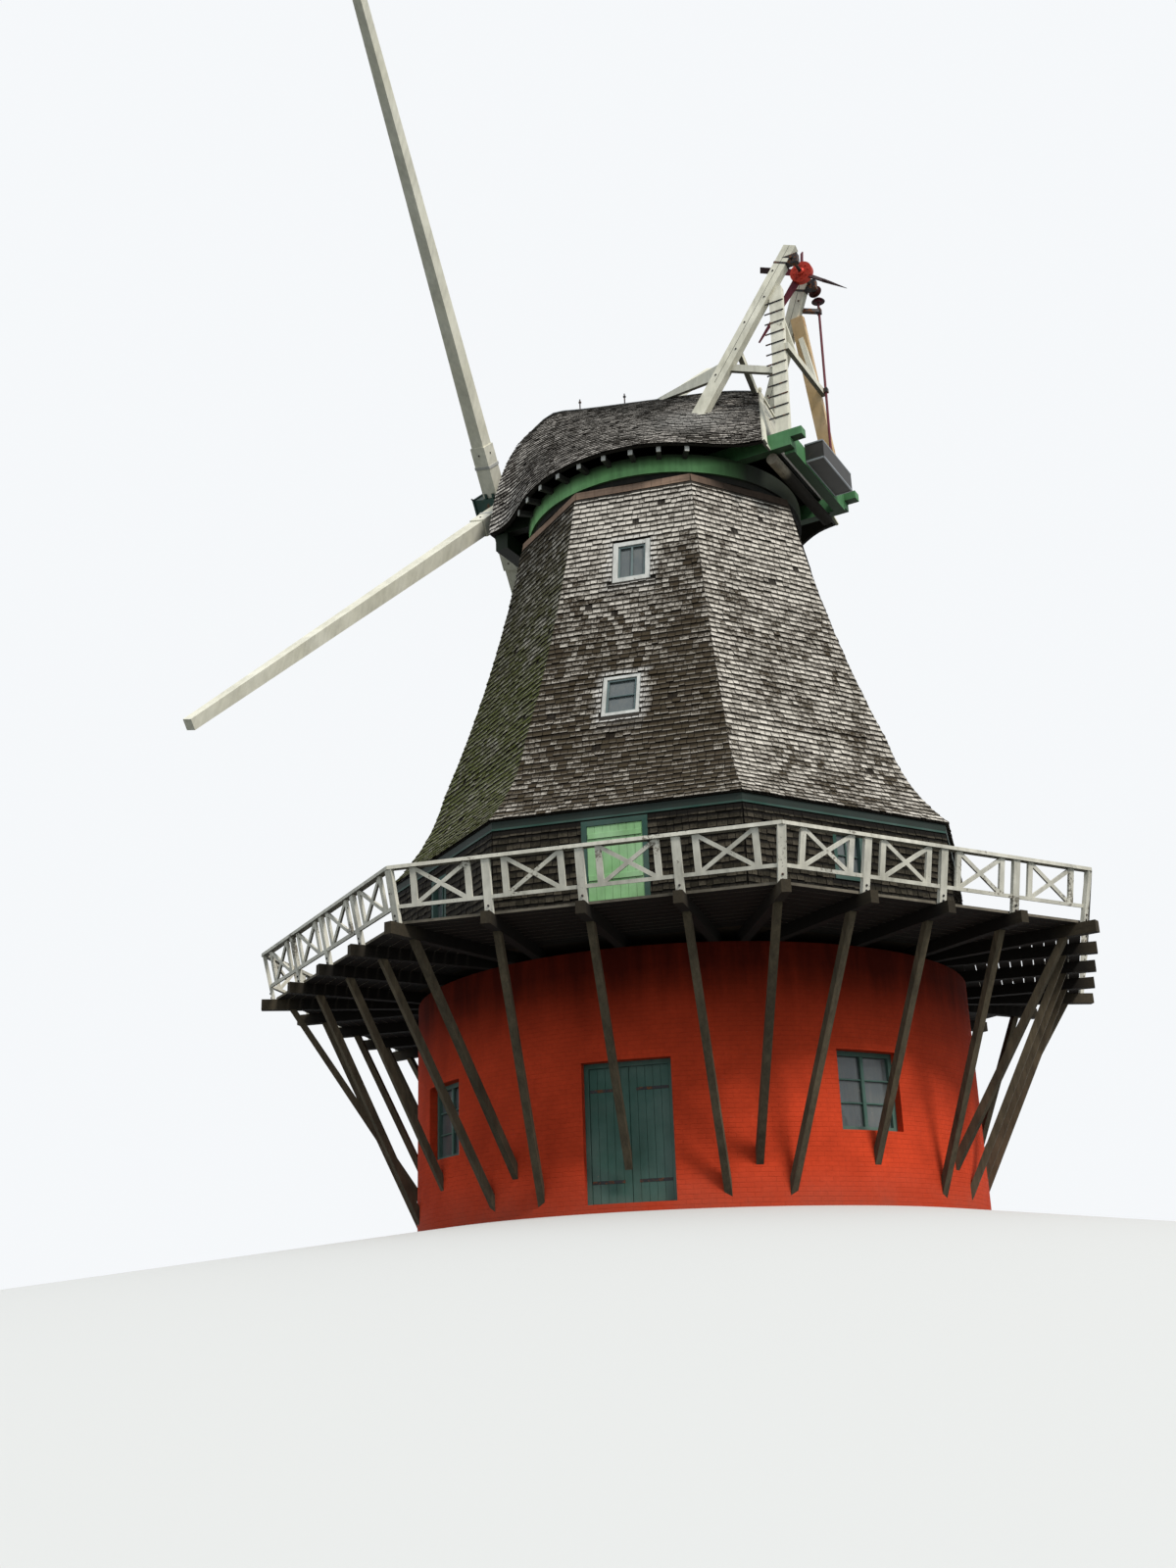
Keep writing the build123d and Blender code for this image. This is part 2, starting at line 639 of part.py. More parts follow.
def cap_body(roof_outer):
    save("curb", ring(CURB_IN_R, CURB_OUT_R, SMOCK_TOP_Z, SMOCK_TOP_Z + CURB_H))
    save("cap_ring", ring(CAP_RING_IN_R, CAP_RING_OUT_R, CAP_Z, EAVE_Z))
    save("roof_shell", on_cap(roof_outer - roof_solid(ROOF_T)))
    front, rear = EAVE_STATIONS[0], EAVE_STATIONS[-1]
    hole = shaft_rod(0, HUB_X, SHAFT_R + SHAFT_HOLE_GAP)
    breast = extrude(roof_frame(front, ROOF_T + 2 * HAIR), -BREAST_T) - hole
    save("breast", on_cap(breast))
    gable = extrude(roof_frame(rear, ROOF_T + HAIR), GABLE_T)
    sheer_face = SHEER_OUT + SHEER_W / 2
    gable -= block(SHEER_REAR, 0, -sheer_face, sheer_face, EAVE_Z - SHEER_H, EAVE_Z + SHEER_H)
    save("rear_gable", on_cap(biggest(gable)))
    drum = Cylinder(CAP_RING_OUT_R, SMOCK_TOP_Z * 4)
    rafter = block(CAP_RING_IN_R, RAFTER_OUT_R, -RAFTER_W / 2, RAFTER_W / 2, EAVE_Z - RAFTER_H, EAVE_Z) - drum
    count = round((RAFTER_LAST - RAFTER_FIRST) / RAFTER_STEP)
    rafters = [turned(rafter, RAFTER_FIRST + k * RAFTER_STEP) for k in range(count + 1)]
    save("rafter_ends", [on_cap(shape) for one in rafters for shape in both_sides(one)])


def sheer_beam():
    y0 = SHEER_OUT - SHEER_W / 2
    beam = block(SHEER_REAR, SHEER_FRONT, y0, y0 + SHEER_W, EAVE_Z, EAVE_Z + SHEER_H)
    notch = block(SHEER_REAR, SHEER_REAR + NOTCH_L, y0, y0 + SHEER_W, EAVE_Z, EAVE_Z + SHEER_H / 2)
    return beam - notch


def cap_frame():
    save("cap_sheers", [on_cap(beam) for beam in both_sides(sheer_beam())])
    inner = SHEER_OUT - SHEER_W / 2
    sheer_top = EAVE_Z + SHEER_H
    neck_z = SHAFT_Z + NECK_X * sin(radians(SHAFT_RISE))
    tail_z = SHAFT_Z + TAIL_JOURNAL_X * sin(radians(SHAFT_RISE))
    breast_beam = block(BREAST_BEAM_X - BREAST_BEAM_W / 2, BREAST_BEAM_X + BREAST_BEAM_W / 2,
                        -BREAST_BEAM_L / 2, BREAST_BEAM_L / 2, EAVE_Z - BREAST_BEAM_H, EAVE_Z)
    breast_beam -= Cylinder(CAP_RING_OUT_R, EAVE_Z * 4)
    weather = block(WEATHER_BEAM_X - WEATHER_BEAM_W / 2, WEATHER_BEAM_X + WEATHER_BEAM_W / 2,
                    -WEATHER_BEAM_L / 2, WEATHER_BEAM_L / 2, sheer_top, neck_z - NECK_BLOCK_H)
    bearer = block(TAIL_BEARER_X - TAIL_BEARER_W / 2, TAIL_BEARER_X + TAIL_BEARER_W / 2, -inner, inner,
                   EAVE_Z + TAIL_BEARER_LIFT, tail_z - TAIL_BLOCK_H)
    save("shaft_beams", [on_cap(weather), on_cap(bearer)])
    neck_hole = shaft_rod(0, HUB_X, NECK_R + JOURNAL_GAP)
    neck_x = NECK_X * cos(radians(SHAFT_RISE))
    neck = block(neck_x - NECK_BLOCK_L / 2, neck_x + NECK_BLOCK_L / 2, -BLOCK_W / 2, BLOCK_W / 2,
                 neck_z - NECK_BLOCK_H, neck_z) - neck_hole
    tail_hole = shaft_rod(SHAFT_TAIL_X * 1.2, 0, TAIL_JOURNAL_R + JOURNAL_GAP)
    tail_x = TAIL_JOURNAL_X * cos(radians(SHAFT_RISE))
    tail = block(tail_x - TAIL_BLOCK_L / 2, tail_x + TAIL_BLOCK_L / 2, -BLOCK_W / 2, BLOCK_W / 2,
                 tail_z - TAIL_BLOCK_H, tail_z) - tail_hole
    save("shaft_bearings", [on_cap(neck), on_cap(tail)])
    cross = block(TAIL_BEAM_X - TAIL_BEAM_W / 2, TAIL_BEAM_X + TAIL_BEAM_W / 2, -inner, inner,
                  EAVE_Z - TAIL_BEAM_DROP, sheer_top)
    save("end_beams", [on_cap(breast_beam), on_cap(cross)])
    roller_z = EAVE_Z - ROLLER_R
    roller = Pos(ROLLER_X, 0, roller_z) * Rot(90, 0, 0) * Cylinder(ROLLER_R, 2 * ROLLER_HALF_L)
    save("tail_roller", on_cap(roller))
    rear = TAIL_BEAM_X - TAIL_BEAM_W / 2
    box = block(rear - TAIL_BOX_L, rear, -TAIL_BOX_W / 2, TAIL_BOX_W / 2, EAVE_Z, EAVE_Z + TAIL_BOX_H)
    save("tail_box", on_cap(box))


# Trestle

def lifted(point):
    return Vector(point[0], point[1], EAVE_Z + point[2])


def at_height(start, end, rise):
    """The point at a height above the eave on the line from start to end."""
    return start + (end - start) * ((EAVE_Z + rise - start.Z) / (end.Z - start.Z))


def biggest(shape):
    return max(shape.solids(), key=lambda solid: solid.volume)


SHEER_TOP = EAVE_Z + SHEER_H
STRUT_LINE = (lifted(MAIN_STRUT_FOOT), lifted(MAIN_STRUT_TOP))
POST_LINE = (Vector(POST_FOOT[0], POST_FOOT[1], SHEER_TOP), lifted(POST_TOP))


def main_strut():
    strut = timber(*STRUT_LINE, MAIN_STRUT_W, MAIN_STRUT_DEEP) - roof_solid(-SEAT_GAP)
    return max(strut.solids(), key=lambda solid: solid.center().Z)


def tapered(start, end, wide, deep):
    """A timber of even width whose depth runs evenly from deep[0] at the start to deep[1] at the end."""
    plane, length = along(start, end, (0, 1, 0))
    return loft([plane * Rectangle(wide, deep[0]), plane.offset(length) * Rectangle(wide, deep[1])])


def trestle(strut):
    save("main_struts", [on_cap(shape) for shape in both_sides(strut)])
    below = POST_LINE[0] - (POST_LINE[1] - POST_LINE[0]) * 0.1
    post = timber(below, POST_LINE[1], POST_W, POST_DEEP)
    post = biggest((post & block(SHEER_REAR, 0, 0, CAP_RING_OUT_R, SHEER_TOP, EAVE_Z * 2)) - strut)
    far_post = mirror(post, about=Plane.XZ)
    plane, _ = along(*POST_LINE, (0, 1, 0))
    face = plane.x_dir * (POST_W / 2 + RUNG_R - RUNG_SINK)
    rungs = []
    for k in range(RUNG_COUNT):
        place = at_height(*POST_LINE, RUNG_FIRST_Z + k * RUNG_PITCH) + face
        rear = place - Vector(RUNG_REAR, 0, 0)
        rungs.append(biggest(rod(rear, rear + Vector(RUNG_L, 0, 0), RUNG_R) - strut))
    ladder = post
    for rung in rungs:
        ladder = ladder - rung
    save("ladder_post", on_cap(ladder))
    save("ladder_rungs", [on_cap(rung) for rung in rungs])
    save("far_post", on_cap(far_post))

    tie_x = TIE_FACE_X
    tie = block(tie_x - TIE_T, tie_x, -TIE_HALF_L, TIE_HALF_L, EAVE_Z + TIE_Z - TIE_H / 2, EAVE_Z + TIE_Z + TIE_H / 2)
    tie = tie - post - far_post
    head = at_height(*POST_LINE, INNER_BRACE_HEAD_Z)
    inner = timber((tie_x - TIE_T / 2, INNER_BRACE_FOOT_Y, EAVE_Z + TIE_Z), head - Vector(0, POST_W / 4, 0),
                   INNER_BRACE_W, INNER_BRACE_W)
    inner = biggest(inner - post - strut - tie)
    save("post_tie", [on_cap(shape) for shape in [tie, *both_sides(inner)]])

    level_ends = [at_height(*line, rise) for line, rise in zip((STRUT_LINE, POST_LINE), LEVEL_BRACE_Z)]
    level = Pos(0, -LEVEL_BRACE_IN, 0) * timber(*level_ends, BRACE_W, BRACE_DEEP)
    level = biggest(level - strut - post)
    roof = roof_solid(-SEAT_GAP)
    to_ridge = timber(at_height(*STRUT_LINE, RIDGE_BRACE_HEAD_Z), lifted(RIDGE_BRACE_FOOT), BRACE_W, BRACE_DEEP, (1, 0, 0))
    to_ridge = biggest(to_ridge - strut - roof)
    fore = tapered(at_height(*STRUT_LINE, FORE_BRACE_Z), lifted(FORE_BRACE_FOOT), FORE_BRACE_W, FORE_BRACE_DEEP)
    near_half = block(SHEER_REAR, SHEER_FRONT, HAIR / 2, CAP_RING_OUT_R, EAVE_Z, EAVE_Z * 2)
    fore = biggest((fore & near_half) - strut - roof)
    save("trestle_braces", [on_cap(shape) for shape in [level, to_ridge, *both_sides(fore)]])


TIE_FACE_X = at_height(*POST_LINE, TIE_Z + TIE_H / 2).X - POST_DEEP / 2 / cos(atan2(
    POST_LINE[1].X - POST_LINE[0].X, POST_LINE[1].Z - POST_LINE[0].Z)) - HAIR


# Fan remains, with the bevel gears and the rod that carries its turning down the far post

FAN_CENTRE = Vector(FAN_X, 0, EAVE_Z + FAN_Z)
GEAR_APEX = Vector(FAN_X, GEAR_APEX_Y, EAVE_Z + FAN_Z)
ROD_END = Vector(*ROD_FOOT, SHEER_TOP + ROD_FOOT_GAP)
ROD_DOWN = (ROD_END - GEAR_APEX).normalized()


def bevel(along_axis, at):
    """A bevel wheel blank whose cone meets its mate's at the point where the two axes cross."""
    plane, _ = along(at, at + along_axis, (1, 0, 0))
    big, small = GEAR_R, GEAR_R - GEAR_FACE * sin(radians(GEAR_CONE))
    reach = GEAR_R / tan(radians(GEAR_CONE))
    back = reach - GEAR_FACE * cos(radians(GEAR_CONE))
    cone = loft([plane.offset(back) * Circle(small), plane.offset(reach) * Circle(big)])
    return cone + extrude(plane.offset(reach) * Circle(GEAR_R * 0.6), GEAR_HUB)


def fan(strut):
    seat = at_height(*STRUT_LINE, FAN_Z)
    z = FAN_CENTRE.Z
    bearing = block(FAN_X - FAN_BEARING_REAR, seat.X, seat.Y - FAN_BEARING_W / 2, seat.Y + FAN_BEARING_W / 2,
                    z - FAN_BEARING_H / 2, z + FAN_BEARING_H / 2)
    near_end = seat.Y + MAIN_STRUT_W / 2 + FAN_AXLE_END
    axle_ends = (Vector(FAN_X, GEAR_APEX_Y + GEAR_R - GEAR_FACE, z), Vector(FAN_X, near_end, z))
    bore = rod((FAN_X, 0, z), (FAN_X, 2 * near_end, z), FAN_AXLE_R + JOURNAL_GAP)
    bearing = biggest(bearing - strut - bore)
    save("fan_bearings", [on_cap(shape) for shape in both_sides(bearing)])

    axle = rod(*axle_ends, FAN_AXLE_R)
    hub = rod((FAN_X, -FAN_HUB_T / 2, z), (FAN_X, FAN_HUB_T / 2, z), FAN_HUB_R)
    gear = bevel(Vector(0, 1, 0), GEAR_APEX)
    save("fan_axle", on_cap(axle))
    save("fan_hub", [on_cap(hub - axle), on_cap(gear - axle)])
    hub_core = rod((FAN_X, -FAN_HUB_T, z), (FAN_X, FAN_HUB_T, z), FAN_HUB_R)
    blades = []
    for angle, length, root, tip in FAN_REMAINS:
        outline = make_face(Polyline([(0, -root / 2), (length, -tip / 2), (length, tip / 2), (0, root / 2)], close=True))
        plate = Rot(FAN_BLADE_PITCH, 0, 0) * extrude(outline, FAN_BLADE_T / 2, both=True)
        place = Pos(FAN_X, 0, z) * Rot(0, -angle, 0) * Rot(90, 0, 0)
        blades.append(place * plate - hub_core)
    save("fan_blades", [on_cap(blade) for blade in blades])


def drive_rod(strut):
    top = GEAR_APEX + ROD_DOWN * (GEAR_R - GEAR_FACE)
    shaft = rod(top, ROD_END, ROD_R) + bevel(ROD_DOWN, GEAR_APEX)
    save("drive_rod", on_cap(shaft))
    bore = rod(GEAR_APEX, ROD_END + ROD_DOWN * ROD_BLOCK_L, ROD_R + JOURNAL_GAP)
    half = ROD_BLOCK_W / 2
    foot = block(ROD_END.X - half, ROD_END.X + half, ROD_END.Y - half, ROD_END.Y + half, SHEER_TOP, SHEER_TOP + ROD_BLOCK_L)
    at_tie = at_height(GEAR_APEX, ROD_END, TIE_Z)
    tie_back = TIE_FACE_X - TIE_T
    low = block(at_tie.X - half, tie_back, at_tie.Y - half, at_tie.Y + half, at_tie.Z - half, at_tie.Z + half)
    eye = GEAR_APEX + ROD_DOWN * ROD_EYE_DROP
    high = timber(eye - ROD_DOWN * ROD_BLOCK_L / 2, eye + ROD_DOWN * ROD_BLOCK_L / 2, ROD_BLOCK_W, ROD_BLOCK_W)
    seat = at_height(*STRUT_LINE, eye.Z - EAVE_Z)
    high += timber(eye, (seat.X, -seat.Y, seat.Z), ROD_BLOCK_W * 0.8, ROD_BLOCK_L * 0.8, across=(0, 0, 1))
    high = biggest(high - mirror(strut, about=Plane.XZ) - bore)
    save("rod_brackets", [on_cap(high), on_cap(biggest(low - bore)), on_cap(biggest(foot - bore))])


# Sails

def stock(offset, turn):
    def section(at, wide, thick):
        return Plane(origin=(0, 0, at), x_dir=(0, 1, 0), z_dir=(0, 0, 1)) * Rectangle(wide, thick)
    root = Pos(0, 0, 0) * Box(STOCK_T, STOCK_W, 2 * STOCK_ROOT)
    half = STOCK_LENGTH / 2
    arm = loft([section(STOCK_ROOT, STOCK_SHOULDER_W, STOCK_SHOULDER_T), section(half, STOCK_TIP_W, STOCK_TIP_T)])
    whole = root + arm + mirror(arm, about=Plane.XY)
    return windshaft_place() * Pos(HUB_X + offset, 0, 0) * Rot(-turn, 0, 0) * whole


def sails():
    outer = stock(STOCK_T / 2, STOCK_TURN)
    inner = stock(-STOCK_T / 2, STOCK_TURN - 90)
    save("outer_stock", on_cap(outer))
    save("inner_stock", on_cap(inner))
    poll = Pos((POLL_REAR + POLL_FRONT) / 2, 0, 0) * Box(POLL_FRONT - POLL_REAR, POLL_W, POLL_W)
    poll = windshaft_place() * Rot(-STOCK_TURN, 0, 0) * poll
    save("poll_end", on_cap(poll - outer - inner))
    shaft = shaft_rod(SHAFT_TAIL_X, TAIL_JOURNAL_X - TAIL_JOURNAL_L / 2, SHAFT_R * 0.8)
    shaft += shaft_rod(TAIL_JOURNAL_X - TAIL_JOURNAL_L / 2, TAIL_JOURNAL_X + TAIL_JOURNAL_L / 2, TAIL_JOURNAL_R)
    shaft += shaft_rod(TAIL_JOURNAL_X + TAIL_JOURNAL_L / 2, NECK_X - NECK_L / 2, SHAFT_R)
    shaft += shaft_rod(NECK_X - NECK_L / 2, NECK_X + NECK_L / 2, NECK_R)
    shaft += shaft_rod(NECK_X + NECK_L / 2, POLL_REAR, SHAFT_R)
    save("windshaft", on_cap(shaft))


os.makedirs("parts", exist_ok=True)
base_walls()
base_openings()
stage_beams()
deck_boards()
rails()
stage_floor = stage_storey()
loft_floors, smock_glass = smock()
save("floors", [stage_floor, *loft_floors])
save("window_panes", base_panes() + stage_panes() + smock_glass)
roof = roof_solid()
cap_body(roof)
cap_frame()
near_strut = main_strut()
trestle(near_strut)
fan(near_strut)
drive_rod(near_strut)
sails()
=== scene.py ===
"""Looks of a smock windmill, in metres: shingles, boards, joinery, ironwork, finishes, light and camera."""

from math import cos, hypot, pi, radians, sin, sqrt, tan

import bpy
import numpy as np
from bpy.props import FloatProperty, FloatVectorProperty, IntProperty, PointerProperty
from mathutils import Matrix, Vector


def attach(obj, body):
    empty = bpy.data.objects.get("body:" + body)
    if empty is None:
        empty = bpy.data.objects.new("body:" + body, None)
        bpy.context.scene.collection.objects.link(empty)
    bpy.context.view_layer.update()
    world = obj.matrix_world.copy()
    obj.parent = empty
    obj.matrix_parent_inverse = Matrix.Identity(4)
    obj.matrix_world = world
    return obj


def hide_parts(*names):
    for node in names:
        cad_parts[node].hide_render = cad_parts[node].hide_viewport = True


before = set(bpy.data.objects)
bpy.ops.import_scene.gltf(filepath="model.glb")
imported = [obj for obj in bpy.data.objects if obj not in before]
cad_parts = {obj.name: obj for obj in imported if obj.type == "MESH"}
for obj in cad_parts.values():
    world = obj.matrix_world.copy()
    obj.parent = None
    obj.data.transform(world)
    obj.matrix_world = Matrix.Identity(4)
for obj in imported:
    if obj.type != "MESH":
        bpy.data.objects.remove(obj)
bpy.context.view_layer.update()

bl_info = {
    "name": "Smock windmill looks",
    "version": (1, 0, 0),
    "blender": (4, 5, 0),
    "location": "View3D > Sidebar > Windmill",
    "description": "Shingles, joinery, ironwork and finishes for a smock windmill",
    "category": "Object",
}

# Sizes that the pieces share with the frame, in metres
UP = (0, 0, 1)
SLANT = tan(pi / 8)
DIAGONALS = (45, 135, 225, 315)
SIDES = {"right": 0, "back_right": 45, "back": 90, "back_left": 135, "left": 180, "front_left": 225,
         "front": 270, "front_right": 315}
BASE_R = 5.3
BASE_REVEAL = 0.15
STAGE_Z = 4.5
STAGE_CORNER_R = 8.0
POST_LEAN = 0.177 / 0.8
WALL_R = 5.31
FASCIA_FOOT = 6.53
CAP_TURN = radians(166.4)
EAVE_Z = 14.9003
SHEER_FACE = 1.62
SHEER_H = 0.35
SHAFT_Z = 15.78
SHAFT_RISE = radians(12)
HUB_OUT = 4.2
STOCK_TURNS = {"outer_stock": 44.1, "inner_stock": -45.9}
FAN_PLACE = (-3.665, 0, EAVE_Z + 5.17)
LEVEL_BLADE, BROKEN_BLADE = 26, 219
# Foot and head of a main strut of the trestle, from the cap's axis and the eave, and half its thickness
STRUT_FOOT, STRUT_HEAD = (-1.49, 1.43, 1.25), (-3.62, 0.43, 5.565)
STRUT_HALF = 0.09
TAIL_BOX = ((-3.67, 0.8), (-4.05, 0.8), (-4.05, -0.8), (-3.67, -0.8))
TAIL_BOX_H = 0.4
# Radius and height of three points of the skirt's arc, and of the smock's
SKIRT = ((5.37, 6.7), (4.8, 7.5), (4.42, 8.5))
SMOCK = ((4.42, 8.5), (3.49, 11.4), (2.84, 14.37))
# Windows and doors: width, height, height of the middle or sill where given, and place along the side
SMOCK_WINDOWS = ((0.72, 0.95, 9.255, -0.09), (0.76, 1.0, 12.45, 0.0))
SIDE_WINDOW = (0.65, 0.9, 5.4, -0.055)
BASE_WINDOW = (1.25, 1.3, 1.2)
STAGE_DOOR = (1.17, 2.0, -0.015)
BASE_DOOR_W = 1.5
SASH = 0.075
TOP_WINDOW_BAR = 0.105
# Each arched frame of the roof: place along the cap, half width, rise, and how far its haunch swells
ROOF_FRAMES = ((3.41, 1.74, 3.52, 0.16), (2.85, 1.93, 3.76, 0.13), (2.25, 2.4, 3.7, 0.1),
               (1.25, 3.06, 3.5, 0.06), (0, 3.34, 3.27, 0.035), (-1.25, 3.12, 3.04, 0.025),
               (-2.2, 2.52, 2.85, 0.02), (-2.75, 2.15, 2.7, 0.015), (-3.24, 2.03, 2.54, 0.01))
RIDGE_ENDS = (3.22, -2.45)
# Sizes of the pieces that only the looks have
SHAFT_HOLE_H, SHAFT_HOLE_R = 1.604, 0.36
PIN_PLACES = np.array([2.0, 0.83])
POLL_W = 0.62
POLL_BANDS = (-0.52, 0.0, 0.6)
HUB_FACE = 0.065
BAND_H = 0.145
BOARD_GAP = 0.004
# The narrowest piece of a shingle that is laid, and the lift and thickness of a shingle's head
SLIVER = 0.02
HEAD_LIFT = 0.006
HEAD_T = 0.005
# Stains on a side of the smock: place along it, height, half width, half height and strength. A negative
# strength lightens, and the broad light patches high on the front and front right are painted light just
# under the cap
STAINS_AND_PAINTED_LIGHT = {
    "front": ((0.2, 8.7, 5.0, 3.0, 1.05), (0.0, 13.7, 3.0, 1.5, -0.5), (1.2, 12.2, 0.5, 0.8, 0.35),
              (-0.2, 9.2, 0.75, 0.7, -0.35)),
    "front_right": ((0.0, 13.5, 3.0, 1.3, -0.42), (0.2, 10.6, 1.0, 0.45, 0.3), (0.9, 8.4, 0.6, 0.5, 0.12),
                    (-0.8, 9.2, 0.4, 0.6, 0.2)),
    "back": ((-0.8, 11.6, 0.8, 1.2, 0.5), (0.6, 8.8, 1.4, 0.7, 0.4)),
    "right": ((0.3, 11.0, 0.9, 0.8, 0.3), (-0.6, 8.6, 0.7, 0.6, 0.3)),
}
SOIL = {"front": 0.0, "front_left": 0.5, "left": 0.5, "front_right": 0.08, "right": 0.12}
OTHER_SOIL = 0.25
MOSS = {"front_left": 0.95, "left": 1.0, "back_left": 0.7}
OTHER_MOSS = 0.05


# Shapes

def unit(a):
    """Vectors divided by their lengths."""
    return a / np.linalg.norm(a, axis=-1, keepdims=True)


def line_length(points):
    """Length of lines of points, their points down the last axis but one."""
    return np.linalg.norm(np.diff(points, axis=-2), axis=-1).sum(-1)


def add_piece(name, shape, finish, body, slot, uv=None, replaces=(), smooth=False, **values):
    """A mesh from points and lists of faces, its place in its points. uv and values are one per point."""
    points, faces = shape
    mesh = bpy.data.meshes.new(name)
    loops = np.concatenate([f.ravel() for f in faces]).astype(np.int32)
    counts = np.concatenate([np.full(len(f), f.shape[1]) for f in faces])
    starts = np.concatenate([[0], np.cumsum(counts)[:-1]]).astype(np.int32)
    mesh.vertices.add(len(points))
    mesh.vertices.foreach_set("co", points.astype(np.float32).ravel())
    mesh.loops.add(len(loops))
    mesh.loops.foreach_set("vertex_index", loops)
    mesh.polygons.add(len(starts))
    mesh.polygons.foreach_set("loop_start", starts)
    if uv is not None:
        mesh.uv_layers.new(name="UVMap").data.foreach_set("uv", uv[loops].astype(np.float32).ravel())
    for key, value in values.items():
        mesh.attributes.new(key, "FLOAT", "POINT").data.foreach_set("value", value.astype(np.float32))
    mesh.update(calc_edges=True)
    mesh.polygons.foreach_set("use_smooth", np.full(len(starts), smooth))
    mesh.materials.append(FINISHES[finish])
    piece = bpy.data.objects.new(name, mesh)
    bpy.context.scene.collection.objects.link(piece)
    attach(piece, body)
    if replaces:
        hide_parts(*replaces)


def merged(shapes):
    """Several shapes as one: the points in a row, and each one's faces moved on by the points before it."""
    points, faces, shift = [], {}, 0
    for some, lists in shapes:
        for f in lists:
            faces.setdefault(f.shape[1], []).append(f + shift)
        points.append(some)
        shift += len(some)
    return np.concatenate(points), [np.concatenate(f) for f in faces.values()]


def carried(profile, origins, us, vs):
    """A closed profile carried along paths: point = origin + u x + v y, with a face at each end."""
    n, s = origins.shape[:2]
    profile = np.broadcast_to(profile, (n, s) + profile.shape[-2:])
    points = origins[:, :, None] + us[:, :, None] * profile[..., :1] + vs[:, :, None] * profile[..., 1:]
    index = np.arange(n * s * profile.shape[2]).reshape(n, s, -1)
    after = np.roll(index, -1, axis=2)
    sides = np.stack([index[:, :-1], after[:, :-1], after[:, 1:], index[:, 1:]], -1).reshape(-1, 4)
    return points.reshape(-1, 3), [sides, np.concatenate([index[:, -1], index[:, 0, ::-1]])]


def bars(starts, ends, wide, deep, across, chamfer=0.006):
    """Straight bars: a rectangle with cut corners carried from each start to its end, wide along across."""
    starts, ends = np.atleast_2d(starts).astype(float), np.atleast_2d(ends).astype(float)
    line = unit(ends - starts)
    across = np.broadcast_to(np.asarray(across, float), line.shape)
    u = unit(across - line * (across * line).sum(-1, keepdims=True))
    v = np.cross(line, u)
    x, y, c = wide / 2, deep / 2, chamfer
    profile = np.array([(x, c - y), (x, y - c), (x - c, y), (c - x, y), (-x, y - c), (-x, c - y), (c - x, -y),
                        (x - c, -y)])
    return carried(profile, np.stack([starts, ends], 1), np.stack([u, u], 1), np.stack([v, v], 1))


def heads(places, normals, radius, high, sides=8, steps=((1, 0), (1, 0.6), (0.62, 1))):
    """Bolt heads, pins and rings: a regular polygon carried along each normal. A step is a share of the
    radius and a share of the height."""
    places, normals = np.atleast_2d(places).astype(float), unit(np.atleast_2d(normals).astype(float))
    normals = np.broadcast_to(normals, places.shape)
    hint = np.where(np.abs(normals[:, 2:]) > 0.9, (1.0, 0, 0), (0, 0, 1.0))
    u = unit(np.cross(hint, normals))
    v = np.cross(normals, u)
    angle = np.arange(sides) * 2 * pi / sides
    circle = np.stack([np.cos(angle), np.sin(angle)], -1)
    steps = np.asarray(steps, float)
    profile = np.broadcast_to(circle * radius, (len(places), len(steps), sides, 2)) * steps[None, :, None, :1]
    origins = places[:, None] + normals[:, None] * (steps[None, :, 1:] * high)
    return carried(profile, origins, *(np.repeat(axis[:, None], len(steps), 1) for axis in (u, v)))


BLOCK_FACES = np.array([(1, 3, 7, 5), (0, 4, 6, 2), (0, 2, 3, 1), (4, 5, 7, 6), (0, 1, 5, 4), (2, 6, 7, 3)])


def blocks(corners):
    """Closed six-sided blocks from corners ordered low to high, then left to right, then inner to outer."""
    faces = (np.arange(len(corners))[:, None, None] * 8 + BLOCK_FACES).reshape(-1, 4)
    return corners.reshape(-1, 3), [faces]


def corner_places(left, right, low, high):
    """Places along and up a surface of the four corners of each patch, low to high and then left to right."""
    u = np.stack([np.stack([left, right], -1)] * 2, 1)
    return u, np.stack([np.stack([z, z], -1) for z in (low, high)], 1)


def thickened(surface, u, v, depth):
    """Closed blocks on a surface: point + normal x distance, from an inner to an outer distance."""
    point, normal = surface(u, v)
    return blocks(point[:, :, :, None] + normal[:, :, :, None] * depth[..., None])


def boards_on(surface, left, right, low, high, inner, outer):
    """Closed boards on a surface: each between two places along it, heights up it and distances off it."""
    left, right, low, high = np.broadcast_arrays(*(np.asarray(x, float) for x in (left, right, low, high)))
    u, v = corner_places(left, right, low, high)
    return thickened(surface, u, v, np.broadcast_to(np.array([inner, outer]), u.shape + (2,)))


def board_edges(first, last, count, gap=BOARD_GAP):
    """Left and right edges of boards side by side between two places, with half a gap off each edge."""
    edges = np.linspace(first, last, count + 1)
    return edges[:-1] + gap / 2, edges[1:] - gap / 2


def framed(centre, along, up, out, wide, high, bar, deep):
    """A window frame of four bars round an opening of the outer size given, its face at the centre."""
    parts, middle = [], centre - out * deep / 2
    for way in (-1, 1):
        side = middle + along * way * (wide - bar) / 2
        parts.append(bars(side - up * high / 2, side + up * high / 2, bar, deep, along, 0.004))
        level, half = middle + up * way * (high - bar) / 2, wide / 2 - bar
        parts.append(bars(level - along * half, level + along * half, bar, deep, up, 0.004))
    return merged(parts)


def side_axes(angle):
    """Outward and along directions of one side of the eight."""
    a = radians(angle)
    return np.array([cos(a), sin(a), 0]), np.array([-sin(a), cos(a), 0])


def on_side(angle, out, along, up):
    """Points from distances outward and along a side, and height."""
    e_out, e_along = side_axes(angle)
    out, along, up = np.broadcast_arrays(*(np.asarray(x, float) for x in (out, along, up)))
    return out[..., None] * e_out + along[..., None] * e_along + up[..., None] * np.array([0, 0, 1.0])


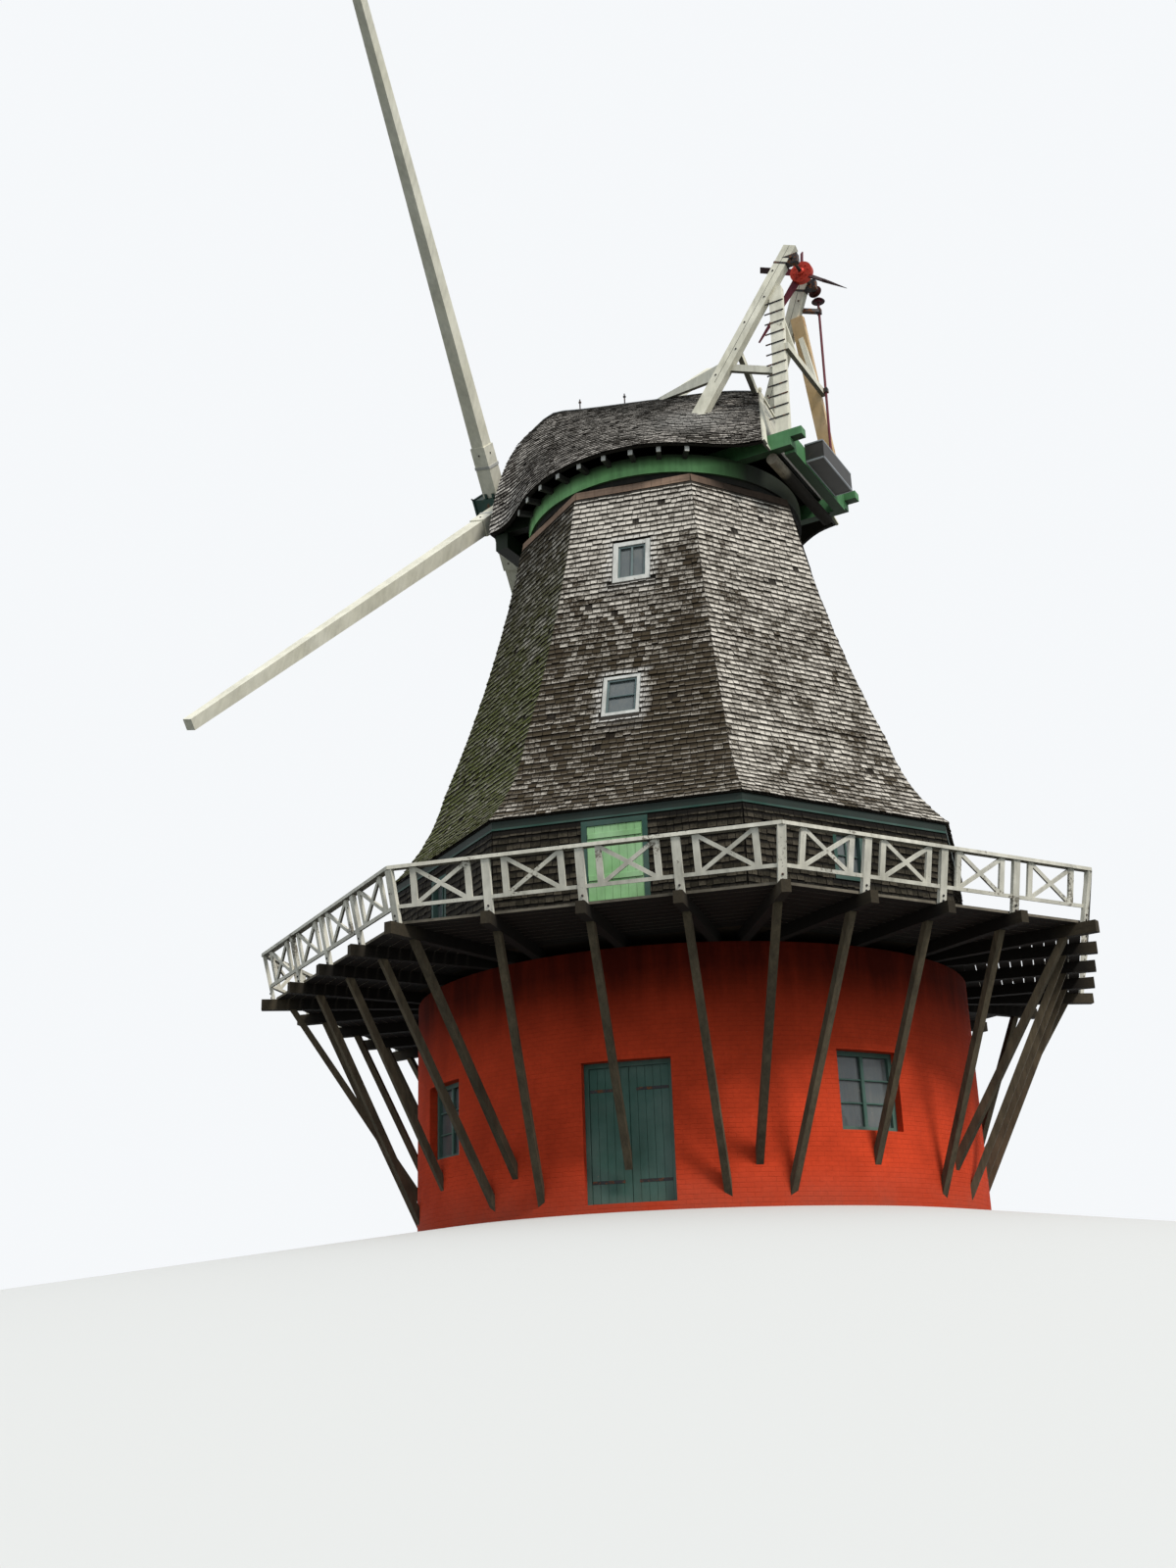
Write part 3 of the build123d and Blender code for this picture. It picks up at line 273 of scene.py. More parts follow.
def level_bars(angle, out, middle, half, heights, high, deep, chamfer=0.006):
    """A level bar along a side at each height, as far to both sides of its middle as half its length."""
    ends = (on_side(angle, out, middle + way * half, np.asarray(heights, float)) for way in (-1, 1))
    return bars(*ends, high, deep, UP, chamfer)


def upright_bars(angle, out, places, low, high, wide, deep, chamfer=0.006):
    """An upright bar at each place along a side, between two heights."""
    ends = (on_side(angle, out, np.asarray(places, float), z) for z in (low, high))
    return bars(*ends, wide, deep, side_axes(angle)[1], chamfer)


def on_cap(forward, side, up):
    """Points from distances forward to the sails and sideways on the cap, and height."""
    c, s = cos(CAP_TURN), sin(CAP_TURN)
    f, w, up = np.broadcast_arrays(*(np.asarray(x, float) for x in (forward, side, up)))
    return np.stack([f * c - w * s, f * s + w * c, up], -1)


def cap_direction(forward, side, up):
    """A direction on the cap, as a tuple that a shader's socket takes."""
    return tuple(on_cap(forward, side, up))


def stock_direction(turn):
    """Direction of a stock: upright on the shaft's turned and tilted axes."""
    side, up = sin(radians(turn)), cos(radians(turn))
    return cap_direction(-up * sin(SHAFT_RISE), side, up * cos(SHAFT_RISE))


def blade_direction(turn):
    """Direction of a blade of the fan: its turn from straight ahead, in the cap's upright plane."""
    return cap_direction(cos(radians(turn)), 0, sin(radians(turn)))


# The lines that the shingles follow

def circle_through(a, b, c):
    """Centre and radius of the circle through three points."""
    (ax, ay), (bx, by), (cx, cy) = a, b, c
    d = 2 * (ax * (by - cy) + bx * (cy - ay) + cx * (ay - by))
    a2, b2, c2 = ax**2 + ay**2, bx**2 + by**2, cx**2 + cy**2
    x = (a2 * (by - cy) + b2 * (cy - ay) + c2 * (ay - by)) / d
    y = (a2 * (cx - bx) + b2 * (ax - cx) + c2 * (bx - ax)) / d
    return x, y, hypot(ax - x, ay - y)


def smock_line():
    """Tables of arc length, radius, height and slope up the smock. On each arc, radius = x - the root of
    R^2 - (z - y)^2."""
    tables = []
    for arc in (SKIRT, SMOCK):
        x, y, r = circle_through(*arc)
        z = np.linspace(arc[0][1], arc[2][1], 200)
        root = np.sqrt(r**2 - (z - y)**2)
        tables.append(np.stack([x - root, z, (z - y) / root]))
    radius, z, slope = np.concatenate(tables, 1)
    step = np.hypot(np.diff(radius), np.diff(z))
    return np.concatenate([[0], np.cumsum(step)]), radius, z, slope


SMOCK_LINE = smock_line()


def smock_half(v):
    """Half the width of a side of the smock's shingles, at an arc length up it."""
    length, radius, _, _ = SMOCK_LINE
    return (np.interp(v, length, radius) + 0.045) * SLANT - 0.002


def smock_surface(angle):
    """A function of distance along the side and arc length up it that gives points and outward normals."""
    e_out, _ = side_axes(angle)

    def surface(u, v):
        length, *tables = SMOCK_LINE
        r, up, rise = (np.interp(v, length, table) for table in tables)
        normal = unit(np.stack([np.ones_like(rise), -rise], -1))
        return on_side(angle, r, u, up), normal[..., :1] * e_out + normal[..., 1:] * np.array([0, 0, 1.0])
    return surface


def wall_surface(angle):
    """The upright wall of the stage storey: distance along the side and height above the deck."""
    e_out, _ = side_axes(angle)

    def surface(u, v):
        return on_side(angle, WALL_R, u, STAGE_Z + v), np.broadcast_to(e_out, np.shape(u) + (3,))
    return surface


def spline(x, y, at):
    """Natural cubic spline through the rows of y at x: its second derivatives solve a linear system."""
    h = np.diff(x)
    n = len(x)
    system, right = np.eye(n), np.zeros((n,) + y.shape[1:])
    for k in range(1, n - 1):
        system[k, k - 1:k + 2] = h[k - 1], 2 * (h[k - 1] + h[k]), h[k]
        right[k] = 6 * ((y[k + 1] - y[k]) / h[k] - (y[k] - y[k - 1]) / h[k - 1])
    bend = np.linalg.solve(system, right.reshape(n, -1)).reshape(right.shape)
    k = np.clip(np.searchsorted(x, at) - 1, 0, n - 2)
    a = ((x[k + 1] - at) / h[k]).reshape(-1, *[1] * (y.ndim - 1))
    b, hk = 1 - a, h[k].reshape(a.shape)
    return a * y[k] + b * y[k + 1] + ((a**3 - a) * bend[k] + (b**3 - b) * bend[k + 1]) * hk**2 / 6


def roof_frame_line(station, share):
    """One arched frame in its leaning plane: an arc through eave, haunch and ridge, at shares of its turn."""
    eave_x, half, rise, haunch = station
    first, last = ROOF_FRAMES[0][0], ROOF_FRAMES[-1][0]
    ridge_x = RIDGE_ENDS[0] + (RIDGE_ENDS[0] - RIDGE_ENDS[1]) / (first - last) * (eave_x - first)
    lean = eave_x - ridge_x
    length = hypot(rise, lean)
    x, y, r = circle_through((half, 0), (half * (0.5 + haunch), length * (1 + haunch) / 2), (0, length))
    low, high = np.arctan2(-y, half - x), np.arctan2(length - y, -x)
    turn = low + (high - low) * share
    side, up = x + r * np.cos(turn), y + r * np.sin(turn)
    return np.stack([eave_x - up * lean / length, side, EAVE_Z + up * rise / length], -1)


def roof_grid(along, over):
    """Points and normals of the right half of the roof, on a grid from front to rear and eave to ridge."""
    share = np.linspace(0, 1, over)
    lines = np.stack([roof_frame_line(station, share) for station in ROOF_FRAMES])
    step = np.linalg.norm(np.diff(lines, axis=0), axis=-1).mean(1)
    knots = np.concatenate([[0], np.cumsum(step)])
    points = spline(knots, lines, np.linspace(0, knots[-1], along))
    normals = unit(np.cross(np.gradient(points, axis=1), np.gradient(points, axis=0)))
    return points, -normals


ROOF = roof_grid(161, 33)


def roof_surface(side):
    """The roof on one side, +1 or -1: share of the way along, such that along x up points outwards, and share
    up. A point lies between four of the grid, by its shares of the way between them."""
    rows, columns = ROOF[0].shape[:2]

    def surface(u, v):
        t, w = np.clip(u if side > 0 else 1 - u, 0, 1) * (rows - 1), np.clip(v, 0, 1) * (columns - 1)
        i, j = np.minimum(t.astype(int), rows - 2), np.minimum(w.astype(int), columns - 2)
        a, b = (t - i)[..., None], (w - j)[..., None]

        def between(grid):
            low = grid[i, j] * (1 - a) + grid[i + 1, j] * a
            high = grid[i, j + 1] * (1 - a) + grid[i + 1, j + 1] * a
            return low * (1 - b) + high * b
        grids = between(ROOF[0]), unit(between(ROOF[1]))
        return tuple(on_cap(found[..., 0], side * found[..., 1], found[..., 2]) for found in grids)
    return surface


def side_rows(total, exposure, length, half_at, start=0.0):
    """Rows up a side: the butts one exposure apart, each row as wide as the side is there."""
    butts = np.arange(start, total - exposure * 0.3, exposure)
    return [(v, min(v + length, total), -half_at(v), half_at(v), 1.0) for v in butts]


def cut_rows(rows, settings, rng):
    """Left and right edges, butts and heads of all rows' shingles: random widths from a random start."""
    parts = []
    for butt, head, first, last, metres in rows:
        count = int((last - first) * metres / settings.width * 1.5) + 2
        wide = rng.uniform(0.7, 1.3, count) * settings.width / metres
        edge = first + np.concatenate([[0], np.cumsum(wide)]) - rng.uniform(0, 1) * settings.width / metres
        left, right = np.maximum(edge[:-1], first), np.minimum(edge[1:], last)
        keep = right - left > SLIVER / metres
        gap = settings.gap / metres / 2
        left, right = left[keep] + gap, right[keep] - gap
        parts.append(np.stack([left, right, np.full(len(left), butt), np.full(len(left), head)]))
    return np.concatenate(parts, 1)


def cut_openings(openings, left, right, butt, low, head, keep):
    """Shingles round openings: heads end below one, butts start above it, and sides end beside it."""
    for a, b, bottom, top in openings:
        over = (right > a) & (left < b)
        below, beside = over & (butt < bottom), over & (butt >= bottom) & (butt < top - 0.03)
        head = np.where(below, np.minimum(head, bottom), head)
        keep = keep & ~(below & (head - low < 0.05)) & ~(beside & (left >= a) & (right <= b))
        low = np.where(over & (low < top) & (butt >= top - 0.03), top, low)
        right = np.where(beside & (left < a), np.minimum(right, a), right)
        left = np.where(beside & (right > b), np.maximum(left, b), left)
    return left, right, low, head, keep


def shingled(surface, rows, settings, seed, openings=(), half_at=None):
    """Shingles on a surface: each is a closed wedge, its butt on its row's line and its head tucked up under
    the next rows. A row is its butt, head, first and last place along, and metres to one unit along."""
    rng = np.random.default_rng(seed)
    left, right, butt, head = cut_rows(rows, settings, rng)
    stray = settings.unevenness * (head - butt) / settings.length
    low = butt - rng.uniform(-1, 1, len(butt)) * stray
    keep = rng.uniform(0, 1, len(butt)) > settings.missing
    left, right, low, head, keep = cut_openings(openings, left, right, butt, low, head, keep)
    u, v = corner_places(left[keep], right[keep], low[keep], head[keep])
    v[:, 0] += rng.uniform(-1, 1, (len(v), 2)) * 0.35 * stray[keep, None]
    if half_at is not None:
        limit = half_at(v)
        u = np.clip(u, -limit, limit)
        keep = u[:, 0, 1] - u[:, 0, 0] > 0.012
        u, v = u[keep], v[keep]
        u[:, 1, 1] = np.maximum(u[:, 1, 1], u[:, 1, 0] + 0.004)
    n = len(u)
    curl = rng.uniform(0, 1, (n, 1)) ** 3 * settings.curl
    outer = np.stack([settings.thickness * 2.5 + curl + np.zeros((n, 2)), np.full((n, 2), HEAD_LIFT)], 1)
    inner = outer - np.array([settings.thickness, HEAD_T])[:, None]
    corner_uv = np.stack(np.meshgrid([0, 1], [0, 1], [0, 0], indexing="ij"), -1)[..., [1, 0]]
    uv = np.broadcast_to(corner_uv, (n, 2, 2, 2, 2)).reshape(-1, 2)
    return thickened(surface, u, v, np.stack([inner, outer], -1)), uv, np.repeat(rng.uniform(0, 1, n), 8)


# What the shaders are made of

class Wire:
    """A number, colour or vector that a shader works out. Each sum or method adds the node for the next."""

    def __init__(self, socket):
        self.socket = socket
        self.tree = socket.id_data

    def math(self, operation, other=0.0, clamp=False):
        return node(self.tree, "ShaderNodeMath", {0: self, 1: other}, operation=operation, use_clamp=clamp)[0]

    def __add__(self, other):
        return self.math("ADD", other)

    def __sub__(self, other):
        return self.math("SUBTRACT", other)

    def __mul__(self, other):
        return self.math("MULTIPLY", other)

    def highest(self, other):
        return self.math("MAXIMUM", other)

    def ranged(self, low, high, to_low=0.0, to_high=1.0):
        inputs = {0: self, 1: low, 2: high, 3: to_low, 4: to_high}
        return node(self.tree, "ShaderNodeMapRange", inputs)[0]

    def between(self, a, b):
        """Colour a where this share is 0, and colour b where it is 1."""
        return mixed(self.tree, self, a, b)

    def covered(self, colour, share, blend="MIX"):
        """This colour with another one over it."""
        return mixed(self.tree, share, self, colour, blend)

    def noise(self, scale, detail=3.0, roughness=0.55, distortion=0.0):
        inputs = {"Vector": self, "Scale": scale, "Detail": detail, "Roughness": roughness,
                  "Distortion": distortion}
        return node(self.tree, "ShaderNodeTexNoise", inputs)[0]

    def stretched(self, scale, rotation=(0, 0, 0)):
        return node(self.tree, "ShaderNodeMapping", {"Vector": self, "Scale": scale, "Rotation": rotation})[0]

    def vector(self, operation, other=(0, 0, 0)):
        return node(self.tree, "ShaderNodeVectorMath", {0: self, 1: other}, operation=operation)

    def along(self, direction):
        """Distance along a direction."""
        return self.vector("DOT_PRODUCT", direction)["Value"]

    def from_axis(self):
        """Distance from the upright axis."""
        return self.vector("MULTIPLY", (1, 1, 0))[0].vector("LENGTH")["Value"]

    def parts(self):
        made = node(self.tree, "ShaderNodeSeparateXYZ", {0: self})
        return made[0], made[1], made[2]


class Outputs:
    """The outputs of a node, each as a wire."""

    def __init__(self, made):
        self.made = made

    def __getitem__(self, key):
        return Wire(self.made.outputs[key])


def fill(made, inputs):
    """Each named input of a node set to a value, or linked to a wire."""
    for key, value in inputs.items():
        if isinstance(value, Wire):
            made.id_data.links.new(value.socket, made.inputs[key])
        else:
            made.inputs[key].default_value = value


def node(tree, kind, inputs=None, **settings):
    """A new shader node with its settings and inputs, as its outputs."""
    made = tree.nodes.new(kind)
    for key, value in settings.items():
        setattr(made, key, value)
    fill(made, inputs or {})
    return Outputs(made)


def rgba(colour):
    """A colour with its alpha, or a wire as it is."""
    return colour if isinstance(colour, Wire) else (*colour[:3], 1.0)


def mixed(tree, share, a, b, blend="MIX"):
    inputs = {0: share, 6: rgba(a), 7: rgba(b)}
    return node(tree, "ShaderNodeMix", inputs, data_type="RGBA", blend_type=blend, clamp_factor=True)[2]


def joined(x, y, z):
    return node(x.tree, "ShaderNodeCombineXYZ", {0: x, 1: y, 2: z})[0]


def times(colour, share):
    """A colour made lighter or darker."""
    return tuple(min(1.0, c * share) for c in colour)


# Effects that several finishes share

def wood_grain(vector, fineness):
    """Wood grain along X: noise squeezed along the grain, with fine fibres and a few long splits."""
    line = vector.stretched((0.06, 1, 1))
    fibre = line.noise(fineness, 2.0, 0.7)
    return line.noise(fineness * 0.4, 4.0, 0.6, 0.4) * 0.65 + fibre * 0.35, fibre.ranged(0.66, 0.72)


def paint_loss(vector, amount, scale):
    """Where paint has come off: small islands inside broad worn patches. Amount 0 keeps all the paint."""
    total = vector.noise(scale * 0.22, 3.0) * 0.55 + vector.noise(scale * 2.4, 5.0, 0.7, 0.3) * 0.45
    edge = amount * -0.4 + 0.78
    return (total.ranged(edge, edge + 0.03),)


def grime(vector, amount, scale):
    """Soot, lichen and water runs: broad clouds plus streaks drawn out down the height."""
    runs = vector.stretched((1, 1, 0.08)).noise(scale * 7.0, 3.0)
    return ((vector.noise(scale, 5.0, 0.62) * 0.6 + runs * 0.4).ranged(0.42, 0.68) * amount,)


def rust(vector, amount, scale):
    """Rust over iron: clouds of small spots, in two browns."""
    edge = amount * -0.4 + 0.7
    browns = vector.noise(scale * 6.0, 3.0).between((0.05, 0.02, 0.012), (0.26, 0.1, 0.035))
    return vector.noise(scale, 6.0, 0.7).ranged(edge, edge + 0.08), browns


def underside_shade(amount):
    """Painted shade on undersides: 1 where a face looks down, and 0 where it looks level or up."""
    facing = node(amount.tree, "ShaderNodeNewGeometry")["True Normal"]
    return (facing.along(UP).ranged(-0.45, -0.8) * amount,)


def side_coordinates(vector):
    """Coordinates of the eight sides: X along the side, Y outward from the axis, Z height. The angle is
    folded into one eighth turn: X = r sin(angle) and Y = r cos(angle). Round has arc length and height."""
    x, y, z = vector.parts()
    angle, r, eighth = y.math("ARCTAN2", x), vector.from_axis(), pi / 4
    turn = (angle + eighth / 2).math("FLOORED_MODULO", eighth) - eighth / 2
    along = r * turn.math("SINE") + (angle - turn) * 5.0
    return joined(along, r * turn.math("COSINE"), z), joined(angle * BASE_R, z, r)


GROUPS = {}
GROUP_SOCKETS = (
    (wood_grain, {"Vector": None, "Fineness": 40.0}, ("Grain", "Splits")),
    (paint_loss, {"Vector": None, "Amount": 0.3, "Scale": 6.0}, ("Mask",)),
    (grime, {"Vector": None, "Amount": 0.5, "Scale": 1.0}, ("Mask",)),
    (rust, {"Vector": None, "Amount": 0.5, "Scale": 8.0}, ("Mask", "Colour")),
    (underside_shade, {"Amount": 0.9}, ("Mask",)),
    (side_coordinates, {"Vector": None}, ("Vector", "Round")),
)
SOCKET_KINDS = {"Vector": "NodeSocketVector", "Round": "NodeSocketVector", "Colour": "NodeSocketColor"}


def make_groups():
    """Each effect as a shader node group with named inputs, which have defaults, and named outputs."""
    for effect, ins, outs in GROUP_SOCKETS:
        name = effect.__name__
        tree = GROUPS[name] = bpy.data.node_groups.new(name, "ShaderNodeTree")
        for labels, way in ((ins, "INPUT"), (outs, "OUTPUT")):
            for label in labels:
                kind = SOCKET_KINDS.get(label, "NodeSocketFloat")
                socket = tree.interface.new_socket(label, in_out=way, socket_type=kind)
                if way == "INPUT" and ins[label] is not None:
                    socket.default_value = ins[label]
        inside = node(tree, "NodeGroupInput")
        fill(tree.nodes.new("NodeGroupOutput"), dict(zip(outs, effect(*(inside[label] for label in ins)))))


def use(tree, group, **inputs):
    """One of the effects in a material's tree, with its own values."""
    return node(tree, "ShaderNodeGroup", inputs, node_tree=GROUPS[group])


# Finishes

FINISHES = {}
# Near-black painted shade, laid on undersides and in shaded zones
PAINTED_SHADE = (0.008, 0.007, 0.006)
LICHEN = (0.078, 0.092, 0.012)
CHALK = (0.62, 0.6, 0.56)
BARE_WOOD = (0.3, 0.27, 0.22)
WOOD_DIRT = (0.03, 0.026, 0.02)
PAINT_DIRT = (0.06, 0.06, 0.045)
GREEN_DIRT = (0.012, 0.018, 0.012)
RED_UNDERCOAT = (0.12, 0.09, 0.07)


class Finish:
    """A material with its shader, dull unless told otherwise, and the object coordinates that it follows."""

    def __init__(self, name, gloss=0.12):
        self.material = FINISHES[name] = bpy.data.materials.new(name)
        self.material.use_nodes = True
        self.tree = self.material.node_tree
        self.tree.nodes.clear()
        self.shader = node(self.tree, "ShaderNodeBsdfPrincipled", {"Specular IOR Level": gloss})
        node(self.tree, "ShaderNodeOutputMaterial", {0: self.shader[0]})
        self.where = node(self.tree, "ShaderNodeTexCoord")["Object"]

    def put(self, colour, roughness, bump=None, distance=0.0, strength=1.0, **others):
        """Colour, roughness and height of the surface, and other inputs of the shader by name."""
        fill(self.shader.made, {"Base Color": colour, "Roughness": roughness})
        fill(self.shader.made, {key.replace("_", " "): value for key, value in others.items()})
        if bump:
            inputs = {"Height": bump, "Distance": distance, "Strength": strength}
            fill(self.shader.made, {"Normal": node(self.tree, "ShaderNodeBump", inputs)[0]})
        return self.material

    def grime(self, amount, scale):
        return use(self.tree, "grime", Vector=self.where, Amount=amount, Scale=scale)["Mask"]

    def grain_line(self, direction):
        """Coordinates with the grain along X: along or out from each side, or along a direction."""
        if direction in ("side", "out"):
            sides = use(self.tree, "side_coordinates", Vector=self.where)["Vector"]
            return sides if direction == "side" else sides.stretched((1, 1, 1), (0, 0, radians(90)))
        d = Vector(direction).normalized()
        side = Vector(UP).cross(d)
        side = side.normalized() if side.length > 1e-3 else Vector((0, 1, 0))
        return self.where.stretched((1, 1, 1), tuple(Matrix((d, side, d.cross(side))).to_euler()))

    def in_shade(self, colour, under, zone):
        """Painted shade on undersides, and in a zone of the object if one is given, such as close under the
        eaves.
        """
        if under:
            colour = colour.covered(PAINTED_SHADE, use(self.tree, "underside_shade", Amount=under)["Mask"])
        return colour.covered(PAINTED_SHADE, zone(self.where)) if zone else colour


def zone_along(direction, start, end, at_start=0.0, at_end=1.0):
    """A zone that goes evenly from one strength to another between two distances along a direction."""
    return lambda where: where.along(direction).ranged(start, end, at_start, at_end)


def timber_finish(name, light, dark, direction=UP, fineness=40.0, soil=0.6, under=0.85, zone=None):
    """Bare wood: grain between two colours, dark splits, grime, and painted shade on its undersides and in a
    zone if one is given.
    """
    made = Finish(name)
    grain = use(made.tree, "wood_grain", Vector=made.grain_line(direction), Fineness=fineness)
    cloud = made.where.noise(1.7, 4.0).ranged(0.3, 0.7)
    colour = (grain["Grain"].ranged(0.3, 0.7) * 0.65 + cloud * 0.35).between(dark, light)
    colour = colour.covered(WOOD_DIRT, grain["Splits"] * 0.7).covered(WOOD_DIRT, made.grime(soil, 1.3))
    height = grain["Grain"] - grain["Splits"] * 0.6
    return made.put(made.in_shade(colour, under, zone), 0.85, height, 0.006, 0.7)


def paint_finish(name, paint, bare=BARE_WOOD, direction=UP, loss=0.25, soil=0.4, scale=6.0, dirt=PAINT_DIRT,
                 fade=0.25, under=0.8, zone=None):
    """Old paint on wood: faded in clouds, lost in patches down to bare wood, with grain and grime, and
    painted shade on its undersides and in a zone if one is given.
    """
    made = Finish(name, 0.2)
    line = made.grain_line(direction)
    grain = use(made.tree, "wood_grain", Vector=line, Fineness=30.0)["Grain"]
    pale, deep = tuple(c + (0.62 - c) * fade for c in paint), times(paint, 0.82)
    colour = made.where.noise(1.1, 4.0).ranged(0.32, 0.68).between(deep, pale)
    colour = colour.covered(deep, grain.ranged(0.4, 0.75) * 0.22)
    lost = use(made.tree, "paint_loss", Vector=line, Amount=loss, Scale=scale)["Mask"]
    colour = colour.covered(grain.between(times(bare, 0.55), bare), lost).covered(dirt, made.grime(soil, 1.6))
    return made.put(made.in_shade(colour, under, zone), lost.ranged(0.0, 1.0, 0.6, 0.9),
                    lost * -0.5 + grain * 0.5, 0.004, 0.6)


def shingle_finish(name, light, dark, stain=0.5, fleck=0.25):
    """Split shingles: a tone for each, dirt and painted shade under the next row and in the gaps, worn butts
    with a painted highlight, painted shade on faces that look down, stains, moss and lime. Their own
    coordinates run across and up each shingle."""
    made = Finish(name)
    where = made.where
    tone, soil, moss, lime = (node(made.tree, "ShaderNodeAttribute", attribute_name=key)["Fac"]
                              for key in ("tone", "soil", "moss", "lime"))
    across, up, _ = node(made.tree, "ShaderNodeUVMap", uv_map="UVMap")[0].parts()
    patches = where.noise(2.1, 4.0, 0.7)
    fibre = joined(across + tone * 57.0, up * 0.5, tone * 31.0).noise(7.0, 3.0, 0.7)
    broad = where.stretched((1, 1, 0.6)).noise(0.42, 5.0, 0.6, 0.6)
    cloud = (broad * 0.55 + patches * 0.45).ranged(0.44, 0.62)
    flecks = where.noise(24.0, 3.0, 0.7).ranged(0.38, 0.62, -fleck, fleck)
    # Soil darkens by stains; below 0 it lightens, as the painted light high on the smock's front and at the
    # cap's front does
    level = tone * 0.58 + fibre * 0.5 + flecks - cloud * stain - soil * 0.8
    colour = level.ranged(-0.1, 0.75).between(dark, light)
    colour = colour.covered(LICHEN, moss * patches.ranged(0.22, 0.52))
    # Pale lower edges of the shingles: worn butts, with a painted highlight
    colour = colour.covered(times(light, 1.3), up.ranged(0.13, 0.02) * (tone * 0.4))
    colour = colour.covered(CHALK, lime * fibre.ranged(0.3, 0.6))
    # Dark band under the next row and along the gaps: dirt and painted shade
    dirt = up.ranged(0.2, 0.32).highest((across - 0.5).math("ABSOLUTE").ranged(0.45, 0.5) * 0.7)
    colour = colour.covered(times(dark, 0.25), dirt * 0.95)
    # Painted shade on faces that look down, such as the butts' ends
    colour = colour.covered(times(dark, 0.3), use(made.tree, "underside_shade", Amount=0.9)["Mask"])
    return made.put(colour, 0.82, fibre, 0.006, 0.9)


def limewash_finish(name, wash, deep):
    """Red limewash on brick: soft courses under the wash, painted shade below the deck broken up by runs, and
    thin scratches.
    """
    made = Finish(name)
    around = use(made.tree, "side_coordinates", Vector=made.where)["Round"]
    brick = node(made.tree, "ShaderNodeTexBrick", {
        "Vector": around, "Scale": 1.0, "Mortar Size": 0.006, "Mortar Smooth": 0.6, "Brick Width": 0.24,
        "Row Height": 0.077, "Color1": rgba((0.9, 0.9, 0.9)), "Color2": rgba((0.6, 0.6, 0.6)),
        "Mortar": rgba((0, 0, 0))})
    cloud, fine = made.where.noise(0.9, 5.0, 0.6), made.where.noise(14.0, 4.0, 0.65)
    colour = cloud.ranged(0.34, 0.66).between(deep, wash)
    colour = colour.covered(times(deep, 0.7), fine.ranged(0.35, 0.75) * 0.3)
    colour = colour.covered(brick[0], 0.12, "MULTIPLY")
    scratch = around.stretched((1, 9, 1)).noise(3.2, 6.0, 0.75).ranged(0.66, 0.72)
    colour = colour.covered((0.5, 0.32, 0.26), scratch * 0.35)
    height = made.where.parts()[2]
    # Painted shade high on the wall under the deck, broken up by runs
    runs = around.stretched((1, 0.12, 1)).noise(2.6, 4.0, 0.6).ranged(0.35, 0.65)
    top = (height.ranged(2.5, 3.9) + runs * 0.25) * height.ranged(2.2, 3.6)
    colour = colour.covered(times(deep, 0.16), top.math("MULTIPLY", 0.85, clamp=True))
    damp = height.ranged(0.7, 0.0) * cloud.ranged(0.3, 0.7)
    colour = colour.covered((0.09, 0.06, 0.045), damp * 0.6)
    return made.put(colour, 0.93, brick[1] * -0.35 + fine * 0.5, 0.012, 0.7)


def stone_finish(name, colour):
    """Stone in clouds of two tones, with a fine grain."""
    made = Finish(name)
    fine = made.where.noise(30.0, 4.0)
    share = made.where.noise(1.5, 5.0) * 0.6 + fine * 0.4
    return made.put(share.ranged(0.35, 0.65).between(times(colour, 0.6), colour), 0.9, fine, 0.004)


def iron_finish(name, colour, amount=0.5, roughness=0.55, zone=None):
    """Painted or bare iron with rust, and painted shade in a zone if one is given."""
    made = Finish(name, 0.4)
    rusty = use(made.tree, "rust", Vector=made.where, Amount=amount, Scale=9.0)
    mask = rusty["Mask"]
    base = made.where.noise(3.0, 4.0).ranged(0.3, 0.7).between(times(colour, 0.7), colour)
    colour = made.in_shade(base.covered(rusty["Colour"], mask), 0, zone)
    return made.put(colour, mask.ranged(0.0, 1.0, roughness, 0.9), mask, 0.002, 0.6,
                    Metallic=mask.ranged(0.0, 1.0, 0.6, 0.05))


def glass_finish(name, colour):
    """Old window glass: dark, slightly uneven and dusty."""
    made = Finish(name, 0.5)
    dust = made.grime(0.5, 3.0)
    return made.put(dust.between(colour, (0.25, 0.25, 0.22)), dust.ranged(0.0, 1.0, 0.06, 0.5),
                    made.where.noise(2.5, 2.0), 0.004, 0.5, Transmission_Weight=0.35, IOR=1.5)


# Settings

def length_setting(name, description, default):
    return FloatProperty(name=name, description=description, default=default, unit="LENGTH")


def colour_setting(name, description, default):
    return FloatVectorProperty(name=name, description=description, default=default, subtype="COLOR",
                               min=0, max=1)


class ShingleSettings(bpy.types.PropertyGroup):
    """Sizes of the shingles on the smock, the stage storey and the cap"""
    exposure: length_setting("Exposure", "Height of each row that shows", 0.125)
    length: length_setting("Length", "Whole length of a shingle", 0.3)
    width: length_setting("Width", "Mean width of a shingle", 0.15)
    thickness: length_setting("Thickness", "Thickness at the butt", 0.017)
    gap: length_setting("Gap", "Gap between neighbours", 0.008)
    unevenness: length_setting("Unevenness", "How far butts stray from the row", 0.01)
    curl: length_setting("Curl", "How far a warped butt lifts", 0.014)
    missing: FloatProperty(name="Missing", description="Share of shingles lost", default=0.004,
                           subtype="FACTOR")
    seed: IntProperty(name="Seed", description="Seed of the widths and tones", default=7)


